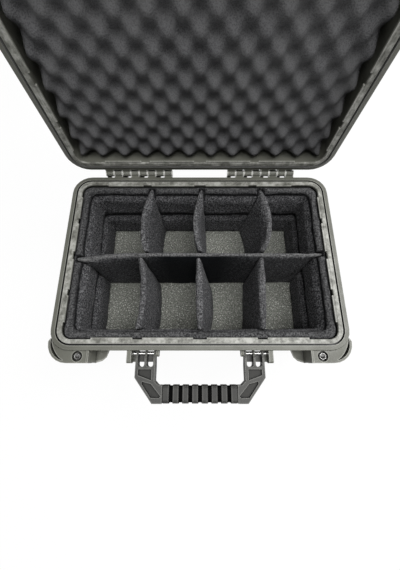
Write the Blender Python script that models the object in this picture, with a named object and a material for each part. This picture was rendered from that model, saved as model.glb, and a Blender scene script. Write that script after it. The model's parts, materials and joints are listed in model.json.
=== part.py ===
"""Hard carrying case with a padded divider set, standing open, as separate solids.

X runs to the case's right, Y runs back to the hinges and Z up. The origin is the centre of
the flat bottom of the base. The lid, its latches and all that they carry are modelled shut,
then hung on empties at their pins and turned open.
"""
import math

import bmesh
import bpy
from mathutils import Matrix, Vector

MM = 0.001
DEGREE = math.pi / 180
FLAT_LIMIT = 0.01 * DEGREE
SHARP = 40 * DEGREE

# Rim, shared by the base and the lid. An inset is measured inwards from the rim's outer edge,
# a level away from the rim's plane: down on the base and up on the lid.
RIM_W = 400 * MM
RIM_D = 270 * MM
RIM_R = 28 * MM
RIM_GAP = 0.3 * MM
CORNER_STEPS = 6
FLANGE_W = 6.2 * MM
FLANGE_T = 5 * MM
GROOVE_W = 2.4 * MM
BASE_GROOVE_DEEP = 4.2 * MM
LID_GROOVE_DEEP = 2.5 * MM
BAND_W = 5.9 * MM
BAND_T = 4 * MM
EDGE = 0.8 * MM
BAND_AT = FLANGE_W + GROOVE_W
BAND_END = BAND_AT + BAND_W

# Shells
BASE_H = 132 * MM
LID_H = 46 * MM
WALL = 3 * MM
WALL_SET = 4.5 * MM
DRAFT_SLOPE = 0.05
FOOT_ROUND = 8 * MM
ROUND_SHARE = 0.3
LID_PANEL_IN = 30 * MM
LID_PANEL_UP = 1.5 * MM
LID_PANEL_EDGE = 3 * MM
CUT_OVER = 1 * MM
CLEAR = 0.3 * MM

# Tabs along the inner edge of the rim
TAB_OUT = 2 * MM
TAB_SUNK = 0.4 * MM
TAB_T = 2.6 * MM
TAB_SPAN_SHARES = ((0.046, 0.383), (0.45, 0.725))

# Hinges
HINGE_BACK = 7 * MM
KNUCKLE_R = 4.6 * MM
KNUCKLE_W = 12.8 * MM
KNUCKLE_GAP = 0.5 * MM
KNUCKLES = 8
HINGE_MID_SHARE = 0.485
HINGE_MID = RIM_W / 2 * HINGE_MID_SHARE
KNUCKLE_WEB = 14 * MM
KNUCKLE_SINK = 0.6 * MM
KNUCKLE_FROM = 100 * DEGREE
KNUCKLE_TURN = 280 * DEGREE
HINGE_PIN_R = 1.6 * MM
LEDGE_BACK = 1 * MM
LEDGE_T = 3 * MM
LEDGE_SLOPE = 5 * MM
LEDGE_LAP = 1 * MM
BASE_LEDGE_SHARE = 0.5
LID_LEDGE_GAP = 1.5 * MM
ROUND_STEPS = 10
LID_OPEN = 92 * DEGREE

# Corner ears with their padlock eyes
EAR_SIDE = 1.6 * MM
EAR_FRONT = 16 * MM
EAR_R = 27 * MM
EAR_INNER_SHARE = 0.73
EAR_INNER = RIM_W / 2 * EAR_INNER_SHARE
EAR_BACK = 12 * MM
EAR_FADE = 4 * MM
EAR_DROP = 2.5 * MM
EAR_SKIRT = 16 * MM
EAR_FOOT = 42 * MM
EAR_RIM = 3 * MM
EAR_POCKET_W = 3.6 * MM
EAR_POCKET_DEEP = 8 * MM
EAR_POCKET_FROM = -80 * DEGREE
EAR_POCKET_TO = 15 * DEGREE
EAR_RIB_W = 3 * MM
EAR_RIB_STEP = 0.5 * MM
EAR_RIB_PROUD = 1.4 * MM
EYE_SHARE = 0.805
EYE_X = RIM_W / 2 * EYE_SHARE
EYE_REACH = 7.3 * MM
EYE_RECESS_R = 6.9 * MM
EYE_RECESS_DEEP = 6 * MM
BUSH_R = 4.5 * MM
BUSH_HOLE_R = 3.1 * MM
BUSH_L = 12 * MM
BUSH_SUNK = 0.5 * MM
BUSH_LIP = 0.8 * MM
EYE_STEPS = 16
SHELF_INNER_SHARE = 0.6475
SHELF_INNER = RIM_W / 2 * SHELF_INNER_SHARE
SHELF_LEVEL = 30 * MM
SHELF_FOOT = 46 * MM
SHELF_STEP_SHARES = ((0.0, -0.06), (0.09, 0.5), (0.4, 0.81), (1.0, 1.0))
SHELF_LAP = 1 * MM

# Handle, its pins and its brackets
HANDLE_PIN_REACH = 3.4 * MM
HANDLE_PIN_LEVEL = 12 * MM
HANDLE_PIN_R = 1.9 * MM
HANDLE_EYE_R = 4.6 * MM
HANDLE_UP = 7 * MM
HANDLE_DOWN = 9 * MM
HANDLE_TAPER_TOP = 6 * MM
HANDLE_TAPER_BOTTOM = 15 * MM
HANDLE_REACH = 65 * MM
ARM_W = 25.8 * MM
ARM_OUT_SHARE = 0.4225
ARM_OUT = RIM_W / 2 * ARM_OUT_SHARE
ARM_IN = ARM_OUT - ARM_W
ARM_TOE_IN = 2.3 * MM
ARM_TOE = ARM_IN + ARM_TOE_IN
ARM_STRAIGHT_SHARE = 0.523
ARM_SLOT_SHARES = (0.22, 0.315)
ARM_SLOT_ROUND = 3 * MM
ARM_SLOT_SINK = 3.2 * MM
ARM_RIB = 2.6 * MM
FINGER_CORNER = 5 * MM
POCKET_DEEP = 3 * MM
POCKET_WALL = 4.2 * MM
ROOT_POCKET_SHARES = (0.363, 0.475, 0.57)
TOE_POCKET_SHARES = ((0.731, 0.594), (0.41, 0.64), (0.06, 0.863), (0.107, 0.898), (0.403, 0.891),
                     (0.737, 0.64))
LUG_W = 3.6 * MM
LUG_R = 4.2 * MM
LUG_TOP = 5.5 * MM
LUG_FOOT = 24 * MM
CHEEK_GAP = 5.5 * MM
CHEEK_W = 6 * MM
CHEEK_IN = ARM_OUT + CHEEK_GAP
CHEEK_OUT = CHEEK_IN + CHEEK_W
CHEEK_REACH = 16 * MM
CHEEK_TOP = 2 * MM
CHEEK_FOOT = 36 * MM
CHEEK_CHAMFER = 2 * MM
CHEEK_NOSE = 12 * MM
CHEEK_SLOPE = 22 * MM
CHEEK_SLOPE_REACH = 11 * MM
SILL_LEVEL = 16 * MM
SILL_T = 4 * MM
SILL_GAP = 0.8 * MM
SILL_SHORT = 1.6 * MM
PIN_BLIND = 2.5 * MM
ARM_RIBS = 3

# Rubber grip round the handle's bar
GRIP_INSET = 10.7 * MM
GRIP_HALF = ARM_IN - GRIP_INSET
GRIP_W = 22.4 * MM
GRIP_REACH_OUT = HANDLE_REACH
GRIP_REACH_IN = GRIP_REACH_OUT - GRIP_W
GRIP_OVER = 0.5 * MM
GRIP_ROUND = 4 * MM
GRIP_GROOVES = 7
GRIP_END_SHARE = 0.775
GRIP_PITCH = 2 * GRIP_HALF / (GRIP_GROOVES + GRIP_END_SHARE)
GRIP_GROOVE_W = 4.5 * MM
GRIP_GROOVE_DEEP = 1.2 * MM
GRIP_GROOVE_EDGE = 0.4 * MM
FINGER_REACH = GRIP_REACH_IN + GRIP_OVER
GRIP_CORE_WALL = 4 * MM
BAR_LAP = 4 * MM

# Latches, measured with the lid shut
LATCH_MID_SHARE = 0.605
LATCH_MID = RIM_W / 2 * LATCH_MID_SHARE
LATCH_W_SHARE = 0.22
LATCH_W = RIM_W / 2 * LATCH_W_SHARE
LATCH_PIN_REACH = 7 * MM
LATCH_PIN_LEVEL = 15 * MM
LATCH_PIN_R = 2 * MM
LATCH_EYE_R = 4.3 * MM
LATCH_LUG_W = 3.2 * MM
LATCH_LUG_LOW = 3 * MM
LATCH_LUG_HIGH = 24 * MM
LATCH_FACE = 12.5 * MM
LATCH_PLATE = 3.5 * MM
LATCH_FOOT = 22 * MM
LATCH_LIP = 27 * MM
LATCH_LIP_OUT = 2 * MM
LATCH_LIP_T = 2.5 * MM
HOOK_GAP = 0.4 * MM
HOOK_T = 5.4 * MM
HOOK_REACH = 3.5 * MM
HOOK_NIB = 1 * MM
LATCH_SWUNG = 40 * DEGREE

# Press trigger in each latch
TRIGGER_W = 16 * MM
TRIGGER_TOP = 9.1 * MM
TRIGGER_FOOT = 3.1 * MM
TRIGGER_PROUD = 0.6 * MM
TRIGGER_T = 3.5 * MM
TRIGGER_PIN_REACH = 7 * MM
TRIGGER_PIN_LEVEL = 7 * MM
TRIGGER_PIN_R = 1.2 * MM
TRIGGER_EYE_R = 2 * MM
TRIGGER_CHEEK_R = 2.4 * MM
TRIGGER_CHEEK_W = 2.4 * MM
TRIGGER_CHEEK_IN = 4.4 * MM
TRIGGER_GAP = 0.4 * MM
TRIGGER_FOOT_GAP = 1.1 * MM
SPRING_SEAT = 2.4 * MM
SPRING_SEAT_T = 1.8 * MM
SPRING_SEAT_W = 12 * MM
SPRING_SEAT_TOP = 1.5 * MM
SPRING_R = 1.9 * MM
SPRING_WIRE_R = 0.35 * MM
SPRING_TURNS = 3
SPRING_TURN_STEPS = 10
SPRING_SIDES = 6

# Pressure valve in the right end wall
VALVE_LEVEL = 38 * MM
VALVE_STEM_R = 6 * MM
VALVE_FLANGE_R = 10 * MM
VALVE_FLANGE_T = 1.6 * MM
VALVE_SEAL_R = 9 * MM
VALVE_SEAL_T = 1.2 * MM
VALVE_NUT_R = 9 * MM
VALVE_NUT_T = 3 * MM
VALVE_KNOB_R = 9.5 * MM
VALVE_KNOB_T = 4 * MM
VALVE_KNOB_RECESS = 0.8 * MM
VALVE_KNOB_RIB = 1.6 * MM
VALVE_STEM_OVER = 0.8 * MM
VALVE_POST_R = 3 * MM
VALVE_VENT_R = 1 * MM
VALVE_BOSS_R = 12 * MM
VALVE_BOSS_OUT = 0.8 * MM
VALVE_BOSS_IN = 1.2 * MM
VALVE_KNOB_RIBS = 9

# Seal, foam and padding
SEAL_PROUD = 2.2 * MM
LID_FOAM_IN = 18 * MM
LID_FOAM_LEVEL = 10 * MM
LID_FOAM_DEEP = 12 * MM
LID_FOAM_X_WAVES = 11
LID_FOAM_Y_WAVES = 7
LINER_OUT = 13 * MM
LINER_BACK = 16.5 * MM
LINER_DROP = 3 * MM
LINER_TOP_IN = 28 * MM
LINER_FOOT_IN = 30.9 * MM
LINER_SEAMS = (11 * MM, 66 * MM)
LINER_SEAM_DEEP = 1.8 * MM
LINER_ROLL_SHARES = ((0.055, 0.5), (0.2, 0.9), (0.42, 1.0), (0.7, 0.83), (0.92, 0.45))
LINER_LEAST_R = 9 * MM
TIER_SHARES = ((0.1, 0.35), (0.5, 0.0), (0.9, 0.35))
FLOOR_PAD_T = 11.4 * MM
FLOOR_PAD_EDGE = 1 * MM

# Dividers. Each row is x as shares of the rim's half width: the top edge at its wall end, middle
# and inner end, then the foot at the same three. A tucked end presses into the liner's roll.
DIVIDER_T = 9.4 * MM
DIVIDER_DROP = 8 * MM
DIVIDER_STEPS = 7
LONG_STEPS = 12
LONG_Y_TOP = 5 * MM
LONG_Y_FOOT = -3 * MM
LONG_CURL = 8 * MM
LONG_CURL_SHARE = 0.2
LONG_TAPER_SHARES = (1.08, 0.74)
TUCK_IN = 17 * MM
TUCK_SHARE = 0.95
TUCK_FOOT_SHARE = 0.9
TUCK_ROOT_SHARE = 0.012
NOTCH_OUT = 11 * MM
DIVIDER_SWELL_SHARE = 0.06
SECTION_SHARES = ((-0.4, 0.0), (-0.47, 0.04), (-0.5, 0.5), (-0.48, 0.9), (-0.47, 0.95), (-0.3, 0.985),
                  (0.0, 1.0), (0.3, 0.985), (0.47, 0.95), (0.48, 0.9), (0.5, 0.5), (0.47, 0.04), (0.4, 0.0))
BACK_DIVIDER_SHARES = (((-0.385, -0.438, -0.408), (-0.35, -0.375, -0.365)),
                       ((0.015, -0.03, 0.005), (0.03, 0.04, 0.03)),
                       ((0.487, 0.54, 0.472), (0.4, 0.45, 0.44)))
FRONT_DIVIDER_SHARES = (((-0.438, -0.413, -0.445), (-0.39, -0.37, -0.38)),
                        ((-0.005, -0.01, -0.015), (0.06, 0.1, 0.07)),
                        ((0.44, 0.453, 0.46), (0.385, 0.405, 0.415)))

# Places that several pieces share
LID_PLANE = BASE_H + RIM_GAP
HINGE_Y = RIM_D / 2 + HINGE_BACK
HINGE_Z = BASE_H + RIM_GAP / 2
FLOOR_Z = WALL + CLEAR
PAD_TOP = FLOOR_Z + FLOOR_PAD_T
DIVIDER_FOOT = PAD_TOP + CLEAR
DIVIDER_TOP = BASE_H - DIVIDER_DROP

FINISHES = {}


def finish(name, colour, roughness, metallic=0.0):
    """A plain finish, made once."""
    if name not in FINISHES:
        made = bpy.data.materials.new(name)
        made.use_nodes = True
        shader = made.node_tree.nodes["Principled BSDF"]
        shader.inputs["Base Color"].default_value = (*colour, 1.0)
        shader.inputs["Roughness"].default_value = roughness
        shader.inputs["Metallic"].default_value = metallic
        FINISHES[name] = made
    return FINISHES[name]


def shell_plastic():
    return finish("shell_plastic", (0.16, 0.16, 0.14), 0.5)


def handle_plastic():
    return finish("handle_plastic", (0.05, 0.05, 0.046), 0.45)


def dark_rubber():
    return finish("dark_rubber", (0.02, 0.02, 0.02), 0.7)


def loop_fabric():
    return finish("loop_fabric", (0.05, 0.05, 0.055), 0.95)


def bare_foam():
    return finish("bare_foam", (0.1, 0.1, 0.09), 0.95)


def steel():
    return finish("steel", (0.6, 0.6, 0.6), 0.3, 1.0)


# Shapes

def solid(name, points, faces, look=None):
    """An object from points and faces, with every face turned outwards."""
    mesh = bpy.data.meshes.new(name)
    mesh.from_pydata([tuple(point) for point in points], [], faces)
    work = bmesh.new()
    work.from_mesh(mesh)
    bmesh.ops.recalc_face_normals(work, faces=work.faces)
    bmesh.ops.connect_verts_nonplanar(work, angle_limit=FLAT_LIMIT, faces=work.faces)
    work.to_mesh(mesh)
    work.free()
    made = bpy.data.objects.new(name, mesh)
    bpy.context.scene.collection.objects.link(made)
    if look:
        mesh.materials.append(look)
    return made


def loft(name, rings, look=None, closed=False):
    """Skin equal rings of points in turn; a closed loft joins the last ring to the first."""
    count = len(rings[0])
    points = [point for ring in rings for point in ring]
    faces = []
    spans = len(rings) if closed else len(rings) - 1
    for level in range(spans):
        low = level * count
        high = (level + 1) % len(rings) * count
        for step in range(count):
            following = (step + 1) % count
            faces.append((low + step, low + following, high + following, high + step))
    if not closed:
        faces.append(tuple(range(count)))
        faces.append(tuple(range(len(points) - count, len(points))))
    return solid(name, points, faces, look)


def prism(name, outline, axis, low, high, look=None):
    """Extrude an outline along an axis; its two numbers are the other axes in x, y, z order."""
    place = {"X": lambda a, b, c: (c, a, b), "Y": lambda a, b, c: (a, c, b), "Z": lambda a, b, c: (a, b, c)}
    rings = [[place[axis](a, b, end) for a, b in outline] for end in (low, high)]
    return loft(name, rings, look)


def box(name, low, high, look=None):
    outline = ((low[0], low[1]), (high[0], low[1]), (high[0], high[1]), (low[0], high[1]))
    return prism(name, outline, "Z", low[2], high[2], look)


def circle(centre, radius, steps, start=0.0, turn=2 * math.pi):
    """Points round a circle, or along an arc of it, in the plane of its two axes."""
    whole = abs(turn) >= 2 * math.pi
    last = steps if whole else steps + 1
    angles = [start + turn * step / steps for step in range(last)]
    return [(centre[0] + radius * math.cos(angle), centre[1] + radius * math.sin(angle)) for angle in angles]


def rod(name, axis, centre, radius, low, high, steps=ROUND_STEPS, look=None):
    return prism(name, circle(centre, radius, steps, math.pi / steps), axis, low, high, look)


def turned(name, profile, axis, centre, steps, look=None):
    """Turn a closed profile of (radius, place along the axis) points into a ring."""
    place = {"X": lambda a, b, c: (c, a, b), "Y": lambda a, b, c: (a, c, b), "Z": lambda a, b, c: (a, b, c)}
    rings = []
    for radius, along in profile:
        rings.append([place[axis](a, b, along) for a, b in circle(centre, radius, steps)])
    return loft(name, rings, look, closed=True)


def gather(parts):
    """Join separate solids into one object to cut or add with."""
    work = bmesh.new()
    for part in parts:
        work.from_mesh(part.data)
    mesh = bpy.data.meshes.new("gathered")
    work.to_mesh(mesh)
    work.free()
    for part in parts:
        bpy.data.objects.remove(part)
    made = bpy.data.objects.new("gathered", mesh)
    bpy.context.scene.collection.objects.link(made)
    return made


def combine(target, operation, tools):
    """Apply Boolean steps in turn and drop the tools."""
    for tool in tools:
        step = target.modifiers.new("step", "BOOLEAN")
        step.operation = operation
        step.object = tool
    bpy.context.view_layer.update()
    graph = bpy.context.evaluated_depsgraph_get()
    result = bpy.data.meshes.new_from_object(target.evaluated_get(graph))
    target.modifiers.clear()
    target.data = result
    for tool in tools:
        bpy.data.objects.remove(tool)
    return target


def add(target, *tools):
    return combine(target, "UNION", tools)


def cut(target, *tools):
    return combine(target, "DIFFERENCE", tools)


def keep_inside(target, tool):
    return combine(target, "INTERSECT", [tool])


def front(reach):
    """The y of a place this far in front of the rim."""
    return -RIM_D / 2 - reach


def mixed(low, high, share):
    return low + (high - low) * share


def rim_ring(inset, height, least_round=0.0):
    """A rounded rectangle parallel to the rim."""
    radius = max(RIM_R - inset, least_round)
    half_x = RIM_W / 2 - inset - radius
    half_y = RIM_D / 2 - inset - radius
    ring = []
    for quadrant, (sign_x, sign_y) in enumerate(((1, 1), (-1, 1), (-1, -1), (1, -1))):
        corner = (half_x * sign_x, half_y * sign_y)
        for x, y in circle(corner, radius, CORNER_STEPS, math.pi / 2 * quadrant, math.pi / 2):
            ring.append((x, y, height))
    return ring


# Shells

def wall_inset(level, depth_share=0.0):
    """How far in the wall stands at a level: 0 is its outer face and 1 its inner face."""
    return WALL_SET + DRAFT_SLOPE * level + WALL * depth_share


def outer_block(name, height, plane, direction, panel=()):
    """A shell's outside as a solid block: foot, drafted wall, flange and rim."""
    foot = wall_inset(height)
    turn_in = FOOT_ROUND * ROUND_SHARE
    profile = [*panel, (foot + FOOT_ROUND, height), (foot + turn_in, height - turn_in),
               (foot, height - FOOT_ROUND), (wall_inset(FLANGE_T), FLANGE_T), (0, FLANGE_T), (0, EDGE),
               (EDGE, 0)]
    rings = [rim_ring(inset, plane - direction * level) for inset, level in profile]
    return loft(name, rings, shell_plastic())


def cavity(height, plane, direction):
    """The space inside a shell, with the rim's inner band left overhanging."""
    foot = wall_inset(height)
    profile = [(BAND_END - EDGE - CUT_OVER, -CUT_OVER), (BAND_END, EDGE), (BAND_END, BAND_T),
               (wall_inset(BAND_T, 1), BAND_T + BAND_W), (foot + WALL, height - FOOT_ROUND),
               (foot + FOOT_ROUND, height - WALL)]
    return loft("cavity", [rim_ring(inset, plane - direction * level) for inset, level in profile])


def groove(plane, direction, deep):
    """The seal groove round the rim."""
    profile = [(FLANGE_W, -CUT_OVER), (FLANGE_W, deep), (BAND_AT, deep), (BAND_AT, -CUT_OVER)]
    rings = [rim_ring(inset, plane - direction * level) for inset, level in profile]
    return loft("groove", rings, closed=True)


def tabs(plane, direction):
    """Short tabs along the rim's inner edge, on all four sides."""
    parts = []
    levels = sorted((plane + direction * TAB_SUNK, plane + direction * (TAB_SUNK + TAB_T)))
    for low_share, high_share in TAB_SPAN_SHARES:
        for side in (1, -1):
            for end in (1, -1):
                along = sorted((side * low_share * RIM_W / 2, side * high_share * RIM_W / 2))
                across = sorted((end * (RIM_D / 2 - BAND_END - TAB_OUT), end * (RIM_D / 2 - BAND_AT - EDGE)))
                parts.append(box("tab", (along[0], across[0], levels[0]), (along[1], across[1], levels[1])))
                along = sorted((side * low_share * RIM_D / 2, side * high_share * RIM_D / 2))
                across = sorted((end * (RIM_W / 2 - BAND_END - TAB_OUT), end * (RIM_W / 2 - BAND_AT - EDGE)))
                parts.append(box("tab", (across[0], along[0], levels[0]), (across[1], along[1], levels[1])))
    return gather(parts)


def knuckle_outline(plane, direction):
    """A hinge knuckle's side view: its barrel and the web into the wall."""
    centre = (HINGE_Y, HINGE_Z)
    barrel = circle(centre, KNUCKLE_R, ROUND_STEPS, -direction * KNUCKLE_FROM, direction * KNUCKLE_TURN)
    root = RIM_D / 2 - BAND_END
    return [(root, plane - direction * KNUCKLE_WEB)] + barrel + [(root, plane - direction * KNUCKLE_SINK)]


def knuckles(plane, direction, first):
    """Every second knuckle of both hinges."""
    parts = []
    pitch = KNUCKLE_W + KNUCKLE_GAP
    for side in (1, -1):
        for index in range(first, KNUCKLES, 2):
            low = side * HINGE_MID - KNUCKLES * pitch / 2 + index * pitch
            parts.append(prism("knuckle", knuckle_outline(plane, direction), "X", low, low + KNUCKLE_W))
    return gather(parts)


def ledge_outline(plane, direction):
    """Side view of a shelf from the wall to beyond the pin, clear of the other shell's knuckles."""
    near = plane - direction * (KNUCKLE_R + CLEAR + CLEAR)
    far = near - direction * LEDGE_T
    root = RIM_D / 2 - BAND_END
    end = HINGE_Y + LEDGE_BACK
    return [(root, near), (end, near), (end, far), (root, far - direction * LEDGE_SLOPE)]


def base_ledges():
    """A shelf from each of the base's knuckles half way under the lid's next one, as seen."""
    parts = []
    pitch = KNUCKLE_W + KNUCKLE_GAP
    for side in (1, -1):
        for index in range(-1, KNUCKLES - 1, 2):
            start = side * HINGE_MID - KNUCKLES * pitch / 2 + (index + 1) * pitch
            low = start - LEDGE_LAP if index > 0 else start
            high = start + KNUCKLE_W * BASE_LEDGE_SHARE
            parts.append(prism("ledge", ledge_outline(BASE_H, 1), "X", low, high))
    return gather(parts)


def lid_ledges():
    """A shelf over each pair of knuckles, with a narrow gap to the next pair."""
    parts = []
    pitch = KNUCKLE_W + KNUCKLE_GAP
    for side in (1, -1):
        for index in range(0, KNUCKLES, 2):
            low = side * HINGE_MID - KNUCKLES * pitch / 2 + index * pitch + LEDGE_LAP
            high = low + 2 * pitch - LEDGE_LAP - LID_LEDGE_GAP
            parts.append(prism("ledge", ledge_outline(LID_PLANE, -1), "X", low, high))
    return gather(parts)


def hinge_bores():
    half = KNUCKLES * (KNUCKLE_W + KNUCKLE_GAP) / 2 + CUT_OVER
    return gather([rod("bore", "X", (HINGE_Y, HINGE_Z), HINGE_PIN_R + CLEAR, side * HINGE_MID - half,
                       side * HINGE_MID + half) for side in (1, -1)])


def ear_edge(level, spread):
    """A corner ear's edge: spread 1 is its full outline and 0 lies inside the shell's wall."""
    inset = wall_inset(level, 0.5)
    corner = (RIM_W / 2 - RIM_R, -RIM_D / 2 + RIM_R)
    hub = (RIM_W / 2 + EAR_SIDE - EAR_R, front(EAR_FRONT) + EAR_R)
    back_y = front(-EAR_BACK)
    full = [(EAR_INNER, front(EAR_FRONT))]
    full += circle(hub, EAR_R, CORNER_STEPS, -math.pi / 2, math.pi / 2)
    full += [(RIM_W / 2 + EAR_SIDE, back_y), (RIM_W / 2 - EDGE, back_y + EAR_FADE)]
    radius = RIM_R - inset
    last_turn = math.asin(min(0.0, max(-1.0, (back_y + EAR_FADE - corner[1]) / radius)))
    near = [(EAR_INNER, front(-inset))]
    near += circle(corner, radius, CORNER_STEPS + 2, -math.pi / 2, math.pi / 2 + last_turn)
    edge = [(mixed(b[0], a[0], spread), mixed(b[1], a[1], spread)) for a, b in zip(full, near)]
    return edge + [(RIM_W / 2 - BAND_END, back_y + EAR_FADE), (EAR_INNER, front(-BAND_END))]


def ears(plane, direction):
    """The two front corner ears, faded into the walls at their feet."""
    made = []
    for side in (1, -1):
        rings = []
        for level, spread in ((EAR_DROP, 1.0), (EAR_SKIRT, 1.0), (EAR_FOOT, 0.0)):
            rings.append([(side * x, y, plane - direction * level) for x, y in ear_edge(level, spread)])
        made.append(loft("ear", rings))
    return gather(made)


def ear_ribs():
    """A rib along the inner side of each of the base's ears, down to the latch shelf."""
    outline = [(-BAND_END, EAR_DROP - EAR_RIB_PROUD), (EAR_FRONT - EAR_RIB_STEP, EAR_DROP - EAR_RIB_PROUD),
               (EAR_FRONT - EAR_RIB_STEP, SHELF_LEVEL), (-BAND_END, SHELF_FOOT)]
    side_view = [(front(reach), BASE_H - level) for reach, level in outline]
    low = EAR_INNER - EAR_RIB_STEP
    high = low + EAR_RIB_W
    return gather([prism("rib", side_view, "X", *sorted((side * low, side * high))) for side in (1, -1)])


def ear_cuts(plane, direction):
    """The crescent pocket, the eye's recess and the bush's hole in each ear."""
    crescents = []
    recesses = []
    holes = []
    top = plane - direction * (EAR_DROP - CUT_OVER)
    hub = (RIM_W / 2 + EAR_SIDE - EAR_R, front(EAR_FRONT) + EAR_R)
    turn = EAR_POCKET_TO - EAR_POCKET_FROM
    outer = circle(hub, EAR_R - EAR_RIM, CORNER_STEPS, EAR_POCKET_FROM, turn)
    inner = []
    for step in range(1, CORNER_STEPS):
        share = step / CORNER_STEPS
        radius = EAR_R - EAR_RIM - EAR_POCKET_W * math.sin(math.pi * share)
        inner += circle(hub, radius, 1, EAR_POCKET_FROM + turn * share, 0.0)[:1]
    crescent = outer + inner[::-1]
    for side in (1, -1):
        mirrored = [(side * x, y) for x, y in crescent]
        floor = plane - direction * (EAR_DROP + EAR_POCKET_DEEP)
        crescents.append(prism("crescent", mirrored, "Z", *sorted((top, floor))))
        eye = (side * EYE_X, front(EYE_REACH))
        floor = plane - direction * (EAR_DROP + EYE_RECESS_DEEP)
        recesses.append(rod("recess", "Z", eye, EYE_RECESS_R, *sorted((top, floor)), EYE_STEPS))
        floor = plane - direction * (EAR_FOOT + CUT_OVER)
        holes.append(rod("hole", "Z", eye, BUSH_R + CLEAR, *sorted((top, floor)), EYE_STEPS))
    return gather(crescents), gather(recesses), gather(holes)


def bush(name, side, plane, direction):
    """A steel padlock bush with a rolled lip, standing in its ear."""
    eye = (side * EYE_X, front(EYE_REACH))
    top = EAR_DROP + BUSH_SUNK
    foot = top + BUSH_L
    profile = [(BUSH_HOLE_R, foot), (BUSH_HOLE_R, top + BUSH_LIP), (BUSH_HOLE_R + BUSH_LIP, top),
               (BUSH_R - BUSH_LIP, top), (BUSH_R, top + BUSH_LIP), (BUSH_R, foot)]
    placed = [(radius, plane - direction * level) for radius, level in profile]
    return turned(name, placed, "Z", eye, EYE_STEPS, steel())


def latch_shelves():
    """The low shelves beside the ears, under the latches' outer halves."""
    made = []
    for side in (1, -1):
        rings = []
        for level, spread in ((SHELF_LEVEL, 1.0), (SHELF_FOOT, 0.0)):
            edge = []
            for along_share, reach_share in SHELF_STEP_SHARES:
                x = mixed(SHELF_INNER, EAR_INNER + SHELF_LAP, along_share)
                out = front(EAR_FRONT * reach_share)
                edge.append((x, mixed(front(-wall_inset(level, 0.5)), out, spread)))
            edge += [(EAR_INNER + SHELF_LAP, front(-BAND_END)), (SHELF_INNER, front(-BAND_END))]
            rings.append([(side * x, y, BASE_H - level) for x, y in edge])
        made.append(loft("shelf", rings))
    return gather(made)


def lug_outline(plane, direction, reach, level, radius, near_level, far_level):
    """A lug's side view: a round end about its pin and a web into the front wall."""
    centre = (front(reach), plane - direction * level)
    turn = direction * math.pi
    nose = circle(centre, radius, ROUND_STEPS, direction * math.pi / 2, turn)
    near = (front(-BAND_END), plane - direction * near_level)
    far = (front(-BAND_END), plane - direction * far_level)
    return [near] + nose + [far]


def handle_brackets():
    """Outer cheeks and inner lugs that carry the handle's two pins."""
    cheek = [(-BAND_END, CHEEK_TOP), (CHEEK_REACH - CHEEK_CHAMFER, CHEEK_TOP),
             (CHEEK_REACH, CHEEK_TOP + CHEEK_CHAMFER), (CHEEK_REACH, CHEEK_NOSE),
             (CHEEK_SLOPE_REACH, CHEEK_SLOPE), (-BAND_END, CHEEK_FOOT)]
    side_view = [(front(reach), BASE_H - level) for reach, level in cheek]
    lug = lug_outline(BASE_H, 1, HANDLE_PIN_REACH, HANDLE_PIN_LEVEL, LUG_R, LUG_TOP, LUG_FOOT)
    parts = []
    lug_out = ARM_IN - CLEAR
    for side in (1, -1):
        parts.append(prism("cheek", side_view, "X", *sorted((side * CHEEK_IN, side * CHEEK_OUT))))
        parts.append(prism("lug", lug, "X", *sorted((side * (lug_out - LUG_W), side * lug_out))))
    return gather(parts)


def bracket_sills():
    """A low sill between each cheek and the arm beside it."""
    reach = CHEEK_REACH - SILL_SHORT
    outline = [(-BAND_END, SILL_LEVEL), (reach, SILL_LEVEL), (reach, SILL_LEVEL + SILL_T),
               (-BAND_END, CHEEK_FOOT)]
    side_view = [(front(out), BASE_H - level) for out, level in outline]
    low = ARM_OUT + SILL_GAP
    high = CHEEK_IN + SILL_GAP
    return gather([prism("sill", side_view, "X", *sorted((side * low, side * high))) for side in (1, -1)])


def pin_bores(radius, low, high, centre):
    return gather([rod("bore", "X", centre, radius, *sorted((side * low, side * high))) for side in (1, -1)])


def handle_pin_centre():
    return (front(HANDLE_PIN_REACH), BASE_H - HANDLE_PIN_LEVEL)


def latch_pin_centre():
    return (front(LATCH_PIN_REACH), LID_PLANE + LATCH_PIN_LEVEL)


def base_shell():
    shell = outer_block("base_shell", BASE_H, BASE_H, 1)
    add(shell, ears(BASE_H, 1), ear_ribs(), latch_shelves(), handle_brackets(), bracket_sills(),
        knuckles(BASE_H, 1, 1), base_ledges())
    cut(shell, cavity(BASE_H, BASE_H, 1), groove(BASE_H, 1, BASE_GROOVE_DEEP))
    add(shell, tabs(BASE_H, -1), valve_boss())
    cut(shell, *ear_cuts(BASE_H, 1))
    bore_in = ARM_IN - CLEAR - LUG_W - CUT_OVER
    cut(shell, hinge_bores(), valve_hole(),
        pin_bores(HANDLE_PIN_R + CLEAR, bore_in, CHEEK_OUT - PIN_BLIND, handle_pin_centre()))
    return shell


def latch_lugs():
    outline = lug_outline(LID_PLANE, -1, LATCH_PIN_REACH, LATCH_PIN_LEVEL, LATCH_EYE_R,
                          LATCH_LUG_LOW, LATCH_LUG_HIGH)
    parts = []
    inside = LATCH_W / 2 + TRIGGER_GAP
    for side in (1, -1):
        for end in (1, -1):
            near = side * LATCH_MID + end * inside
            far = near + end * LATCH_LUG_W
            parts.append(prism("lug", outline, "X", *sorted((near, far))))
    return gather(parts)


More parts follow.
